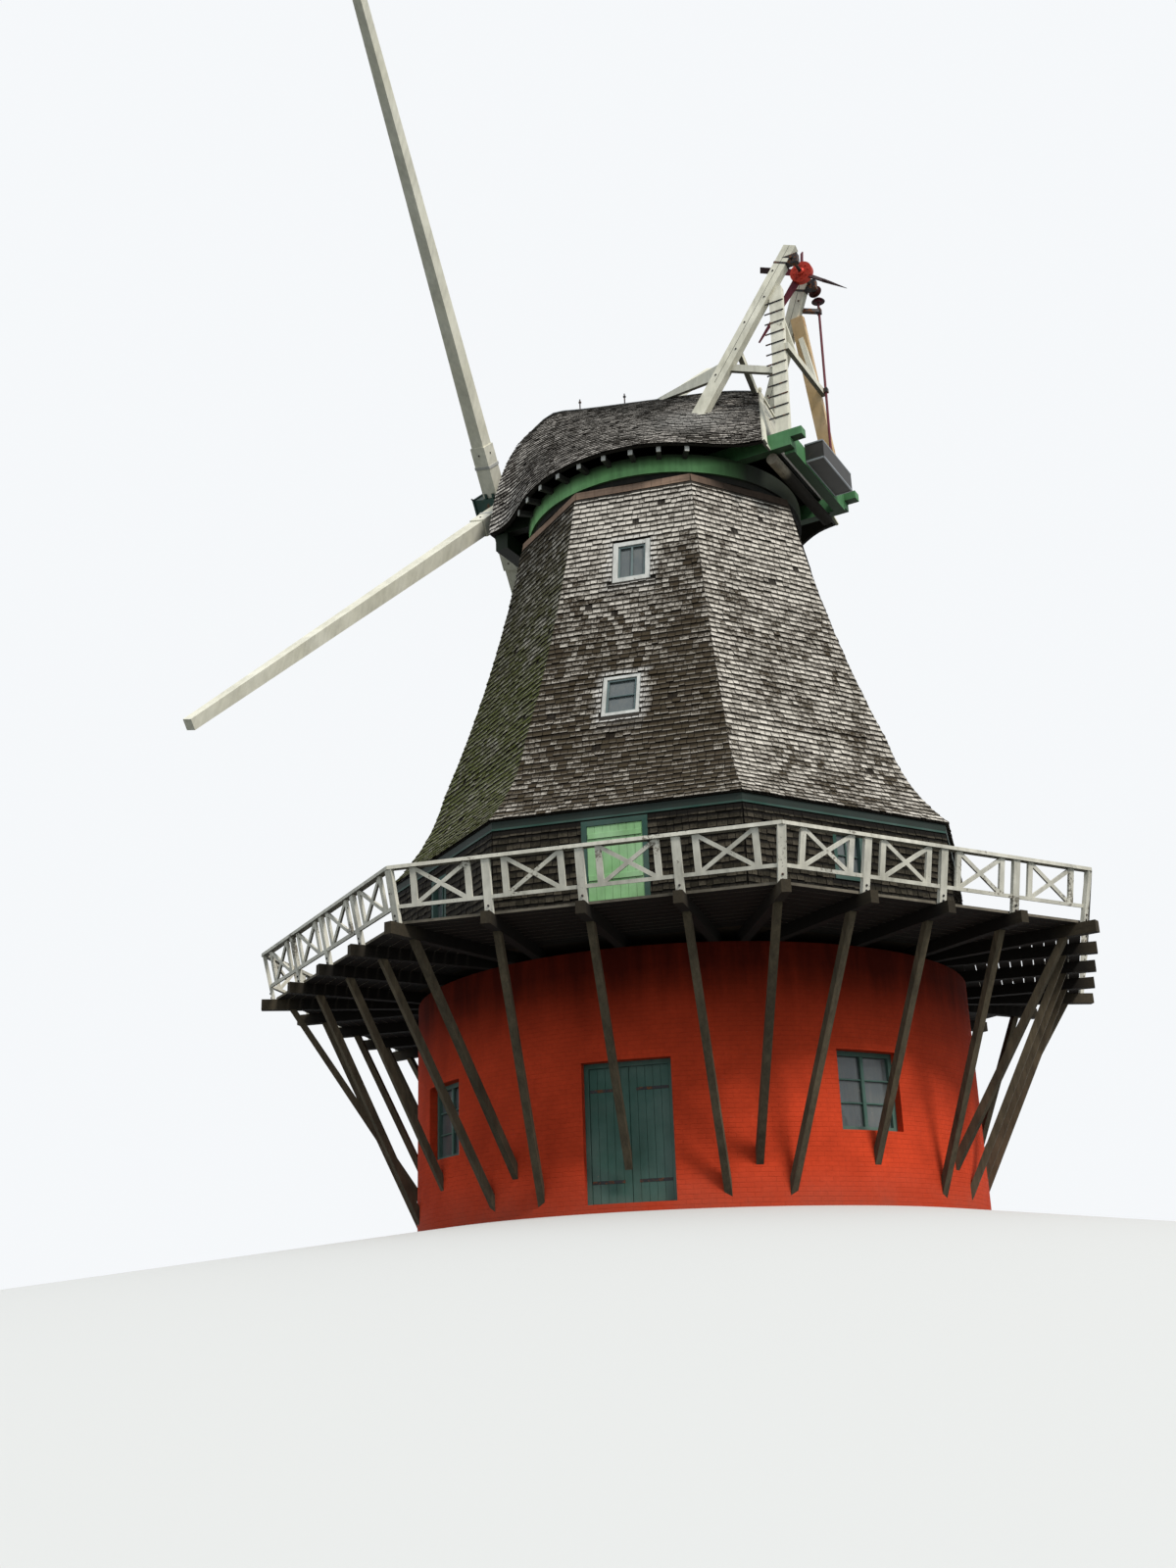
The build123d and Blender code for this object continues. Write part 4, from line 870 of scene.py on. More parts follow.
class ColourSettings(bpy.types.PropertyGroup):
    """Colours of the paints, woods and iron"""
    shingle_light: colour_setting("Pale shingle", "Silver side of old shingles", (0.62, 0.575, 0.505))
    shingle_dark: colour_setting("Dark shingle", "Brown side of the weathered shingles", (0.045, 0.032, 0.02))
    cap_light: colour_setting("Pale cap shingle", "Silver side of the cap's shingles", (0.66, 0.61, 0.55))
    cap_dark: colour_setting("Dark cap shingle", "Dark side of the cap's shingles", (0.028, 0.022, 0.018))
    green: colour_setting("Green paint", "Cap ring and beams", (0.068, 0.23, 0.082))
    teal: colour_setting("Teal paint", "Fascia and door frames", (0.012, 0.062, 0.046))
    leaf: colour_setting("Leaf green paint", "Stage doors", (0.24, 0.5, 0.2))
    cream: colour_setting("Cream paint", "Stocks and trestle", (0.8, 0.77, 0.62))
    railing: colour_setting("Railing paint", "Railing of the stage", (0.72, 0.69, 0.58))
    white: colour_setting("White paint", "Window frames and rafter ends", (0.6, 0.6, 0.56))
    deck: colour_setting("Deck timber", "Boards of the stage", (0.25, 0.22, 0.17))
    beam: colour_setting("Beam timber", "Beams and struts under the stage", (0.07, 0.056, 0.036))
    limewash: colour_setting("Limewash", "Masonry of the base", (0.72, 0.068, 0.022))
    fan_red: colour_setting("Fan red", "Hub of the fan", (0.5, 0.045, 0.025))


class LightSettings(bpy.types.PropertyGroup):
    """Strengths of the sun and the even light"""
    sun: FloatProperty(name="Sun", description="Strength of the main lamp", default=2.9)
    sky: FloatProperty(name="Sky", description="Strength of the even light", default=0.8)


# Finishes of the frame's pieces

def dress(material, *names):
    """Give a finish to the named pieces of the frame."""
    for name in names:
        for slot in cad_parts[name].material_slots:
            slot.material = material


class WINDMILL_OT_finishes(bpy.types.Operator):
    """Make the finishes and give each piece of the frame its own"""
    bl_idname = "windmill.finishes"
    bl_label = "Finishes"

    def execute(self, context):
        make_groups()
        colours = context.scene.windmill_colours
        self.tower(colours)
        self.cap(colours)
        self.tail(colours)
        self.sails(colours)
        self.iron(colours)
        return {"FINISHED"}

    def tower(self, c):
        """The base, the stage and the smock."""
        shingle_finish("smock_shingles", c.shingle_light, c.shingle_dark)
        # Very dark shingles on the stage storey: their own dark colour, and painted shade under the smock's
        # flared skirt
        shingle_finish("stage_wall_shingles", (0.065, 0.055, 0.04), (0.014, 0.011, 0.008))
        # Painted shade on the band towards the cap's tail
        timber_finish("smock_band_boards", (0.46, 0.31, 0.225), (0.17, 0.11, 0.075), "side", 26.0, 0.4,
                      zone=zone_along(cap_direction(1, 0, 0), -1.3, -2.2, 0.0, 0.85))
        # Near-black sheathing: painted shade under the roof and behind the shingles
        dress(timber_finish("dark_sheathing", (0.03, 0.025, 0.02), (0.012, 0.01, 0.008), "side"),
              "roof_shell", "stage_wall_sides", "stage_wall_diagonals", *(f"smock_{side}" for side in SIDES))
        dress(limewash_finish("limewashed_brick", c.limewash, times(c.limewash, 0.7)),
              "base_wall_sides", "base_wall_diagonals")
        dress(stone_finish("floor_slab", (0.3, 0.28, 0.25)), "ground_floor")
        dress(paint_finish("base_joinery_paint", (0.05, 0.13, 0.1), loss=0.35, soil=0.3, fade=0.1),
              "base_frames", "base_door_leaves")
        dress(timber_finish("deck_boards", c.deck, times(c.deck, 0.45), "side", under=1.0),
              "stage_deck", "stage_edge_boards")
        dress(timber_finish("floor_boards", (0.25, 0.17, 0.1), (0.13, 0.085, 0.05), (1, 0, 0)),
              "floors", "shaft_beams")
        # Painted shade on the beams' inner parts, under the deck
        dress(timber_finish("stage_beams", c.beam, times(c.beam, 0.4), "out",
                            zone=lambda where: where.from_axis().ranged(7.9, 7.45, 0.0, 0.95)), "stage_beams")
        dress(timber_finish("stage_struts", times(c.beam, 2.4), times(c.beam, 0.8), under=0.6),
              "stage_struts")
        dress(paint_finish("railing_paint", c.railing, loss=0.5, soil=0.45, scale=9, fade=0.2),
              "rail_corner_posts", "rail_sides", "rail_diagonals")
        teal = {"direction": "side", "loss": 0.25, "soil": 0.35, "fade": 0.08}
        dress(paint_finish("teal_paint", c.teal, **teal), "stage_frames")
        # Painted shade on the fascia above its bottom 30 mm, under the shingles' drip
        dress(paint_finish("fascia_paint", c.teal, **teal,
                           zone=zone_along(UP, FASCIA_FOOT + 0.03, FASCIA_FOOT + 0.04, 0.0, 0.75)), "fascia")
        dress(paint_finish("leaf_green_paint", c.leaf, loss=0.3, soil=0.3, fade=0.25), "stage_door_leaves")
        dress(paint_finish("white_paint", c.white, loss=0.45, soil=0.45, fade=0.1, scale=12, under=0.3),
              "smock_window_frames")
        paint_finish("grey_sash_paint", (0.1, 0.15, 0.15), loss=0.3, soil=0.3, fade=0.1, scale=12, under=0.3)
        dress(glass_finish("old_glass", (0.14, 0.165, 0.17)), "window_panes")

    def cap(self, c):
        """The cap's ring, beams, roof and front."""
        ahead, across = cap_direction(1, 0, 0), cap_direction(0, 1, 0)
        # Painted shade on the ring: front darkens its rear under the tail, eave its top strip under the eaves
        front = zone_along(ahead, -1.9, -2.6, 0.0, 0.97)
        eave = zone_along(UP, EAVE_Z - 0.28, EAVE_Z - 0.04, 0.0, 0.9)
        shingle_finish("cap_shingles", c.cap_light, c.cap_dark, stain=0.7, fleck=0.45)
        # The ring's green is lighter than the beams': painted light that makes up for the shade it stands in
        # under the eave
        ring = tuple(x * y for x, y in zip(c.green, (3.1, 2.2, 2.2)))
        dress(paint_finish("green_paint", ring, direction="side", loss=0.2, soil=0.5, fade=0.06,
                           dirt=GREEN_DIRT, zone=lambda where: front(where).highest(eave(where))), "cap_ring")
        # Painted shade on the beams' front ends, under the breast
        dress(paint_finish("green_beam_paint", c.green, direction=ahead, loss=0.22, soil=0.45, fade=0.08,
                           dirt=GREEN_DIRT, zone=zone_along(ahead, 1.6, 2.5, 0.0, 0.93)),
              "cap_sheers", "end_beams")
        # Painted shade along the rafters: near-black except their last 12 mm, the white ends
        dress(paint_finish("rafter_end_paint", c.white, loss=0.25, soil=0.3, fade=0.1, under=0,
                           zone=lambda where: where.from_axis().ranged(3.25, 3.262, 0.97, 0.0)),
              "rafter_ends")
        # Near-black boards on the breast and the curb: painted shade at the front of the cap and under it
        dress(timber_finish("dark_boards", (0.012, 0.013, 0.012), (0.005, 0.006, 0.005), across),
              "breast", "curb")
        # Dark breast boards, with painted shade on their lower part near the eave
        timber_finish("dark_breast_boards_painted_shade", (0.05, 0.046, 0.038), (0.013, 0.012, 0.01),
                      zone=zone_along(UP, EAVE_Z + 0.8, EAVE_Z + 0.2, 0.0, 0.9))
        # Painted shade along the roller: pale only at its near end
        dress(timber_finish("roller_wood", (0.42, 0.37, 0.29), (0.2, 0.17, 0.13), across, under=0.1,
                            zone=zone_along(across, 0.95, 0.75, 0.0, 0.96)), "tail_roller")

    def tail(self, c):
        """The rear gable, the trestle and the fan."""
        # Painted shade at the foot of the rear gable, between the sheers
        inside = zone_along(cap_direction(0, 1, 0), 1.58, 1.5)
        low = zone_along(UP, EAVE_Z + 0.9, EAVE_Z + 0.5, 0.0, 0.95)
        dress(paint_finish("gable_paint", times(c.cream, 0.75), loss=0.4, soil=0.5,
                           zone=lambda where: inside(where) * low(where)), "rear_gable")
        lean = cap_direction(-0.45, 0, 0.9)
        dress(paint_finish("trestle_paint", c.cream, direction=lean, loss=0.35, soil=0.35),
              "main_struts", "ladder_post", "post_tie", "trestle_braces")
        lean = cap_direction(0.07, -0.25, 1)
        dress(paint_finish("worn_post_paint", (0.68, 0.46, 0.22), (0.52, 0.28, 0.11), lean, loss=0.45,
                           soil=0.25, scale=5), "far_post")
        red = {"bare": RED_UNDERCOAT, "soil": 0.25, "fade": 0.03}
        dress(paint_finish("fan_blade_paint", (0.17, 0.018, 0.04), loss=0.25, under=0, zone=self.dark_ends,
                           **red), "fan_blades")
        dress(paint_finish("purple_red_paint", (0.15, 0.02, 0.035), loss=0.3, **red), "drive_rod")

    def dark_ends(self, where):
        """1 on the outer end of the fan's level blade, and on the whole of the broken one opposite."""
        masks = []
        for turn, start in ((LEVEL_BLADE, 0.78), (BROKEN_BLADE, 0.24)):
            line = blade_direction(turn)
            at = float(np.dot(line, on_cap(*FAN_PLACE))) + start
            masks.append(zone_along(line, at, at + 0.04, 0.0, 0.9)(where))
        return masks[0].highest(masks[1])

    def sails(self, c):
        """The stocks, each with its grain along it."""
        for name, turn in STOCK_TURNS.items():
            dress(paint_finish(f"{name}_paint", c.cream, direction=stock_direction(turn), loss=0.18, soil=0.3,
                               scale=3, under=0), name)

    def iron(self, c):
        """Iron, grey sheet and lead."""
        dress(iron_finish("rusty_iron", (0.035, 0.035, 0.038), 0.45),
              "shaft_bearings", "ladder_rungs", "fan_axle", "rod_brackets", "windshaft", "fan_bearings")
        dress(iron_finish("dark_green_iron", (0.02, 0.05, 0.04), 0.25), "poll_end")
        # Painted shade on the far end of the fan's hub
        far = zone_along(cap_direction(0, 1, 0), -0.32, -0.38, 0.0, 0.9)
        dress(iron_finish("red_iron", c.fan_red, 0.3, zone=far), "fan_hub")
        dress(iron_finish("grey_sheet", (0.045, 0.043, 0.04), 0.12, 0.5), "tail_box")
        iron_finish("ridge_lead", (0.3, 0.32, 0.34), 0.03, 0.5)


# Pieces

class WINDMILL_OT_smock_shingles(bpy.types.Operator):
    """Cover the eight sides of the smock with shingles, course by course"""
    bl_idname = "windmill.smock_shingles"
    bl_label = "Smock shingles"

    def execute(self, context):
        s = context.scene.windmill_shingles
        full = SMOCK_LINE[0][-1]
        top = full - BAND_H
        rows = side_rows(top, s.exposure, s.length, smock_half, start=-0.02)
        bands = []
        for k, (name, angle) in enumerate(SIDES.items()):
            surface = smock_surface(angle)
            shape, uv, tone = shingled(surface, rows, s, s.seed + k, self.openings(name), smock_half)
            soil, moss, lime = self.weather(shape[0], angle, name)
            add_piece(f"shingles_{name}", shape, "smock_shingles", "tower", "smock_shingles", uv=uv,
                      tone=tone, soil=soil, moss=moss, lime=lime)
            half = smock_half(full) - 0.01
            bands.append(boards_on(surface, *board_edges(-half, half, 12), top - 0.03, full, 0.002, 0.03))
        add_piece("smock_band", merged(bands), "smock_band_boards", "tower", "smock_shingles")
        return {"FINISHED"}

    def openings(self, name):
        """The windows of a side with a gap round them: left, right, bottom and top on its surface."""
        openings = []
        for wide, high, middle, shift in SMOCK_WINDOWS if name in ("front", "back") else ():
            v = np.interp(middle, SMOCK_LINE[2], SMOCK_LINE[0])
            half = wide / 2 + 0.006
            openings.append((shift - half, shift + half, v - high / 2 - 0.006, v + high / 2 - 0.03))
        return openings

    def weather(self, points, angle, name):
        """How soiled, how mossy and how whitened each point is; the broad negative stains high up are painted
        light. A stain is exp(-((x - a) / r)^2 - ((z - b) / q)^2), and the white is the window frames' paint
        on the shingles' ends beside them."""
        along, up = points @ side_axes(angle)[1], points[:, 2]
        soil = np.full(len(points), SOIL.get(name, OTHER_SOIL))
        for a, b, r, q, amount in STAINS_AND_PAINTED_LIGHT.get(name, ()):
            soil += amount * np.exp(-((along - a) / r)**2 - ((up - b) / q)**2)
        moss = MOSS.get(name, OTHER_MOSS) * np.clip((14.3 - up) / 4.5, 0.1, 1)
        white = np.zeros(len(points))
        for wide, high, middle, shift in SMOCK_WINDOWS if name in ("front", "back") else ():
            beside = np.maximum(np.abs(along - shift) - wide / 2, np.abs(up - middle + 0.06) - high / 2)
            white = np.maximum(white, np.clip((0.13 - beside) / 0.04, 0, 1))
        return np.clip(soil, -0.6, 1), moss, white


class WINDMILL_OT_wall_shingles(bpy.types.Operator):
    """Cover the storey behind the stage with dark shingles, clear of its doors and windows"""
    bl_idname = "windmill.wall_shingles"
    bl_label = "Stage storey shingles"

    def execute(self, context):
        s = context.scene.windmill_shingles
        half = (WALL_R + 0.02) * SLANT - 0.004

        def half_at(_):
            return half
        rows = side_rows(FASCIA_FOOT - STAGE_Z, s.exposure, s.length, half_at, start=0.02)
        wide, high, shift = STAGE_DOOR
        door = (shift - wide / 2, shift + wide / 2, -0.1, high)
        wide, high, sill, shift = SIDE_WINDOW
        window = (shift - wide / 2, shift + wide / 2, sill - STAGE_Z, sill - STAGE_Z + high)
        for name, angles, opening in (("sides", (0, 90, 180, 270), door), ("diagonals", DIAGONALS, window)):
            sides = [shingled(wall_surface(angle), rows, s, s.seed + 20 + angle,
                              [] if angle in (0, 180) else [opening], half_at) for angle in angles]
            shapes, uvs, tones = zip(*sides)
            tone = np.concatenate(tones)
            add_piece(f"wall_shingles_{name}", merged(shapes), "stage_wall_shingles", "tower",
                      "smock_shingles", uv=np.concatenate(uvs), tone=tone, soil=0 * tone + 0.3,
                      moss=0 * tone + 0.03, lime=0 * tone)
        return {"FINISHED"}


class WINDMILL_OT_roof_shingles(bpy.types.Operator):
    """Cover the cap's roof with shingles, and close its ridge with a strip of lead and two pins"""
    bl_idname = "windmill.roof_shingles"
    bl_label = "Roof shingles"

    def execute(self, context):
        s = context.scene.windmill_shingles
        points = ROOF[0]
        count = round(line_length(points).mean() / (s.exposure * 0.96))
        share = s.length / s.exposure / count
        rows = []
        for butt in np.arange(count) / count - 0.004:
            line = points[:, int(max(butt, 0) * (points.shape[1] - 1))]
            rows.append((butt, min(butt + share, 0.998), 0.0, 1.0, float(line_length(line))))
        for side, name in ((1, "near"), (-1, "far")):
            shape, uv, tone = shingled(roof_surface(side), rows, s, s.seed + 40 + side)
            soil, lime = self.weather(shape[0])
            add_piece(f"roof_shingles_{name}", shape, "cap_shingles", "cap", "cap_shingles", uv=uv, tone=tone,
                      soil=soil, moss=0 * tone + 0.04, lime=lime)
        ridge = points[::8, -1]
        self.strip(ridge)
        self.pins(ridge)
        return {"FINISHED"}

    def weather(self, points):
        """Lighter towards the front, a painted light, and whitened round the near strut's foot: exp(-((x - a)
        / r)^2), faded out above and below."""
        forward, up = points @ on_cap(1, 0, 0), points[:, 2] - EAVE_Z
        fade = np.clip((1.9 - up) / 0.4, 0, 1) * np.clip((up - 0.35) / 0.7, 0, 1)
        lime = np.exp(-((forward + 1.65) / 0.7)**2) * fade
        return 0.28 - 0.45 * np.clip(forward - 1.6, 0, 1), lime * 0.9

    def strip(self, ridge):
        """A flat bent profile carried along the ridge."""
        centre = on_cap(ridge[:, 0], 0 * ridge[:, 1], ridge[:, 2])
        line = unit(np.gradient(centre, axis=0))
        across = np.broadcast_to(on_cap(0, 1, 0), line.shape)
        up = np.cross(line, across)
        up = up * np.sign(up[:, 2:])
        profile = np.array([(0.13, -0.05), (0.14, -0.035), (0.0, 0.05), (-0.14, -0.035), (-0.13, -0.05),
                            (0.0, 0.03)])
        forward = np.cross(across, up)[0] @ line[0] > 0
        shape = carried(profile if forward else profile[::-1], centre[None], across[None], up[None])
        add_piece("ridge_strip", shape, "ridge_lead", "cap", "grey_sheet", smooth=True)

    def pins(self, ridge):
        """Rods that stand on the ridge, each with a head."""
        feet = on_cap(PIN_PLACES, 0.0, np.interp(PIN_PLACES, ridge[::-1, 0], ridge[::-1, 2]))
        rods = heads(feet, UP, 0.016, 0.3, 6, ((1, 0), (1, 1)))
        add_piece("ridge_pins", merged([rods, heads(feet + (0, 0, 0.21), UP, 0.035, 0.035, 8)]), "rusty_iron",
                  "cap", "iron")


class WINDMILL_OT_joinery(bpy.types.Operator):
    """Put casings and glazing bars on every window"""
    bl_idname = "windmill.joinery"
    bl_label = "Window joinery"

    def execute(self, context):
        windows = [self.smock_window(angle, window) for angle in (270, 90) for window in SMOCK_WINDOWS]
        casings, sashes = zip(*windows)
        add_piece("smock_window_casings", merged(casings), "white_paint", "tower", "frame_white",
                  replaces=("smock_window_frames",))
        add_piece("smock_window_sashes", merged(sashes), "grey_sash_paint", "tower", "teal_paint")
        stage, base = zip(*(self.glazing(angle) for angle in DIAGONALS))
        add_piece("stage_window_bars", merged(sum(stage, [])), "teal_paint", "tower", "teal_paint")
        add_piece("base_window_bars", merged(sum(base, [])), "base_joinery_paint", "tower", "teal_paint")
        return {"FINISHED"}

    def smock_window(self, angle, window):
        """A frame in the side's slope, and the sash in it: one upright bar above, one level bar below."""
        wide, high, middle, shift = window
        _, radius, z, slope = SMOCK_LINE
        r, rise = np.interp(middle, z, radius), np.interp(middle, z, slope)
        e_out, e_along = side_axes(angle)
        up = unit(rise * e_out + np.array([0, 0, 1.0]))
        out = unit(np.cross(e_along, up))
        centre = on_side(angle, r, shift, middle)
        upper = window == SMOCK_WINDOWS[1]
        bar = TOP_WINDOW_BAR if upper else SASH
        casing = framed(centre + out * 0.022, e_along, up, out, wide, high, bar, 0.157)
        inner_w, inner_h = wide - 2 * bar, high - 2 * bar
        sash = framed(centre - out * 0.005, e_along, up, out, inner_w + 0.004, inner_h + 0.004, 0.04, 0.04)
        face = centre - out * 0.025
        half = up * inner_h / 2 if upper else e_along * inner_w / 2
        wide, deep, across = (0.04, 0.035, e_along) if upper else (0.026, 0.03, up)
        return casing, merged([sash, bars(face - half, face + half, wide, deep, across, 0.004)])

    def glazing(self, angle):
        """The crossed bars of a stage window, and the upright and two level bars of a base window."""
        wide, high, sill, shift = SIDE_WINDOW
        low, top = sill + SASH, sill + high - SASH
        stage = [upright_bars(angle, WALL_R - 0.055, shift, low, top, 0.032, 0.03),
                 level_bars(angle, WALL_R - 0.055, shift, wide / 2 - SASH, (low + top) / 2, 0.026, 0.028)]
        wide, high, sill = BASE_WINDOW
        frame_w, frame_back = 0.08, 0.035
        face = sqrt(BASE_R**2 - (wide / 2)**2) - BASE_REVEAL - frame_back
        low, top = sill + frame_w, sill + high - frame_w
        heights = low + (top - low) * np.array([1, 2]) / 3
        base = [upright_bars(angle, face, 0, low, top, 0.07, 0.05),
                level_bars(angle, face - 0.01, 0, wide / 2 - frame_w, heights, 0.03, 0.03)]
        return stage, base


class WINDMILL_OT_doors(bpy.types.Operator):
    """Board the stage doors and the base doors, with ledges and strap hinges"""
    bl_idname = "windmill.doors"
    bl_label = "Doors"

    def execute(self, context):
        boards, ledges = zip(*(self.stage_door(angle) for angle in (270, 90)))
        add_piece("stage_door_boards", merged(boards), "leaf_green_paint", "tower", "leaf_paint")
        add_piece("stage_door_ledges", merged(ledges), "leaf_green_paint", "tower", "leaf_paint")
        boards, hinges = zip(*(self.base_leaf(side) for side in (-1, 1)))
        add_piece("base_door_boards", merged(boards), "base_joinery_paint", "tower", "teal_paint")
        add_piece("base_door_hinges", merged(hinges), "rusty_iron", "tower", "iron")
        return {"FINISHED"}

    def stage_door(self, angle):
        """Upright boards side by side, and three ledges across them."""
        wide, high, shift = STAGE_DOOR
        half = wide / 2 - 0.0955
        left, right = board_edges(-half, half, 7)
        boards = upright_bars(angle, WALL_R + 0.009, shift + (left + right) / 2, STAGE_Z + 0.01,
                              STAGE_Z + high - 0.1, right[0] - left[0], 0.02, 0.003)
        heights = STAGE_Z + np.array([0.25, 0.98, 1.72])
        return boards, level_bars(angle, WALL_R + 0.028, shift, half - 0.02, heights, 0.1, 0.022)

    def base_leaf(self, side):
        """Upright boards of one leaf, and its two strap hinges."""
        face = sqrt(BASE_R**2 - (BASE_DOOR_W / 2)**2) - BASE_REVEAL - 0.04
        left, right = board_edges(0.004, 0.665, 5)
        boards = upright_bars(270, face + 0.008, side * (left + right) / 2, 0.17, 2.3, right[0] - left[0],
                              0.02, 0.003)
        hinges = level_bars(270, face + 0.021, side * 0.39, -side * 0.27, [0.5, 1.95], 0.05, 0.008, 0.002)
        return boards, hinges


class WINDMILL_OT_cap_trim(bpy.types.Operator):
    """Board both ends of the cap, and edge its gable and its tail box"""
    bl_idname = "windmill.cap_trim"
    bl_label = "Cap boarding"

    def execute(self, context):
        self.gable()
        self.breast()
        self.verges()
        self.tail_rim()
        return {"FINISHED"}

    def gable(self):
        """The rear end's boards, cut off above the beams."""
        y, low, top = self.board_places(ROOF_FRAMES[-1], 0.1, 25)
        low = np.where(np.abs(y).min(1, keepdims=True) < SHEER_FACE, SHEER_H + 0.02, low)
        boards = self.boarding(ROOF_FRAMES[-1], RIDGE_ENDS[1], y, low, top)
        add_piece("gable_boards", boards, "gable_paint", "cap", "cream_paint")

    def breast(self):
        """The front's boards, cut round the windshaft: clear height = sqrt(r^2 - y^2) above and below it."""
        y, low, top = self.board_places(ROOF_FRAMES[0], 0.12, 19)
        clear = np.sqrt(np.maximum(SHAFT_HOLE_R**2 - y**2, 0.0))
        cut = clear.max(1) > 0
        clear = np.maximum(clear, 0.08)
        end = ROOF_FRAMES[0], RIDGE_ENDS[0]
        under = self.boarding(*end, y, low, np.where(cut[:, None], SHAFT_HOLE_H - clear, top))
        over = self.boarding(*end, y[cut], SHAFT_HOLE_H + clear[cut], top[cut])
        add_piece("breast_boards", merged([under, over]), "dark_breast_boards_painted_shade", "cap", "dark_boards")

    def tail_rim(self):
        """Bars round the tail box, at its top and at its foot."""
        corners = np.array(TAIL_BOX)
        x, y = np.tile(corners, (2, 1)).T
        height = EAVE_Z + np.repeat([TAIL_BOX_H, 0.01], 4)
        next_x, next_y = np.tile(np.roll(corners, -1, axis=0), (2, 1)).T
        rim = bars(on_cap(x, y, height), on_cap(next_x, next_y, height), 0.035, 0.03, UP, 0.004)
        add_piece("tail_box_rim", rim, "ridge_lead", "cap", "grey_sheet")

    def board_places(self, station, inset, count):
        """Left and right edges of one end's upright boards, and the heights of their feet and heads."""
        line = roof_frame_line(station, np.linspace(0, 1, 60))
        side, up = line[::-1, 1] - inset, line[::-1, 2] - EAVE_Z - inset
        half = station[1] - 0.12
        y = np.stack(board_edges(-half, half, count, 0.006), 1)
        top = np.interp(np.abs(y), side, up)
        keep = top.min(1) > 0.1
        return y[keep], np.full(y[keep].shape, 0.02), top[keep]

    def boarding(self, station, ridge, y, low, top):
        """Upright boards 20 mm thick on the leaning plane of one end, from their edges and heights."""
        y, low, top = (v[np.minimum(top - low, 9).min(1) > 0.05] for v in (y, low, top))
        facing = np.sign(station[0])
        heights = np.stack([low, top], 1)[..., None]
        depth = facing * np.array([-0.002, 0.02])
        x = station[0] - heights * (station[0] - ridge) / station[2] + depth
        return blocks(on_cap(x, facing * y[:, None, :, None], EAVE_Z + heights))

    def verges(self):
        """Boards along the edges of the rear gable: a flat profile carried along its frame, and a knob."""
        line = roof_frame_line(ROOF_FRAMES[-1], np.linspace(0, 1, 25))
        foot, head = line[0] * (1, 0, 1), line[-1]
        rear = unit(np.cross(unit(head - foot), (0, 1, 0)))
        profile = np.array([(-0.11, 0.0), (0.015, 0.0), (0.015, 0.05), (-0.11, 0.05)])
        shapes = []
        for side in (1, -1):
            path = line * (1, side, 1)
            along = unit(np.gradient(path, axis=0)) * side
            back = np.broadcast_to(rear, path.shape)
            path, out, back = (on_cap(*v[::side].T) for v in (path, np.cross(rear, along), back))
            forward = np.cross(out, back)[5] @ (path[6] - path[5]) > 0
            shapes.append(carried(profile if forward else profile[::-1], path[None], out[None], back[None]))
        add_piece("gable_verges", merged(shapes), "trestle_paint", "cap", "cream_paint")
        top = on_cap(head[0], 0, head[2]) + on_cap(*rear) * 0.03
        steps = ((0.7, 0), (0.7, 0.3), (1, 0.5), (0.8, 0.85), (0.3, 1))
        add_piece("ridge_knob", heads(top, UP, 0.045, 0.12, 10, steps), "trestle_paint", "cap", "cream_paint",
                  smooth=True)


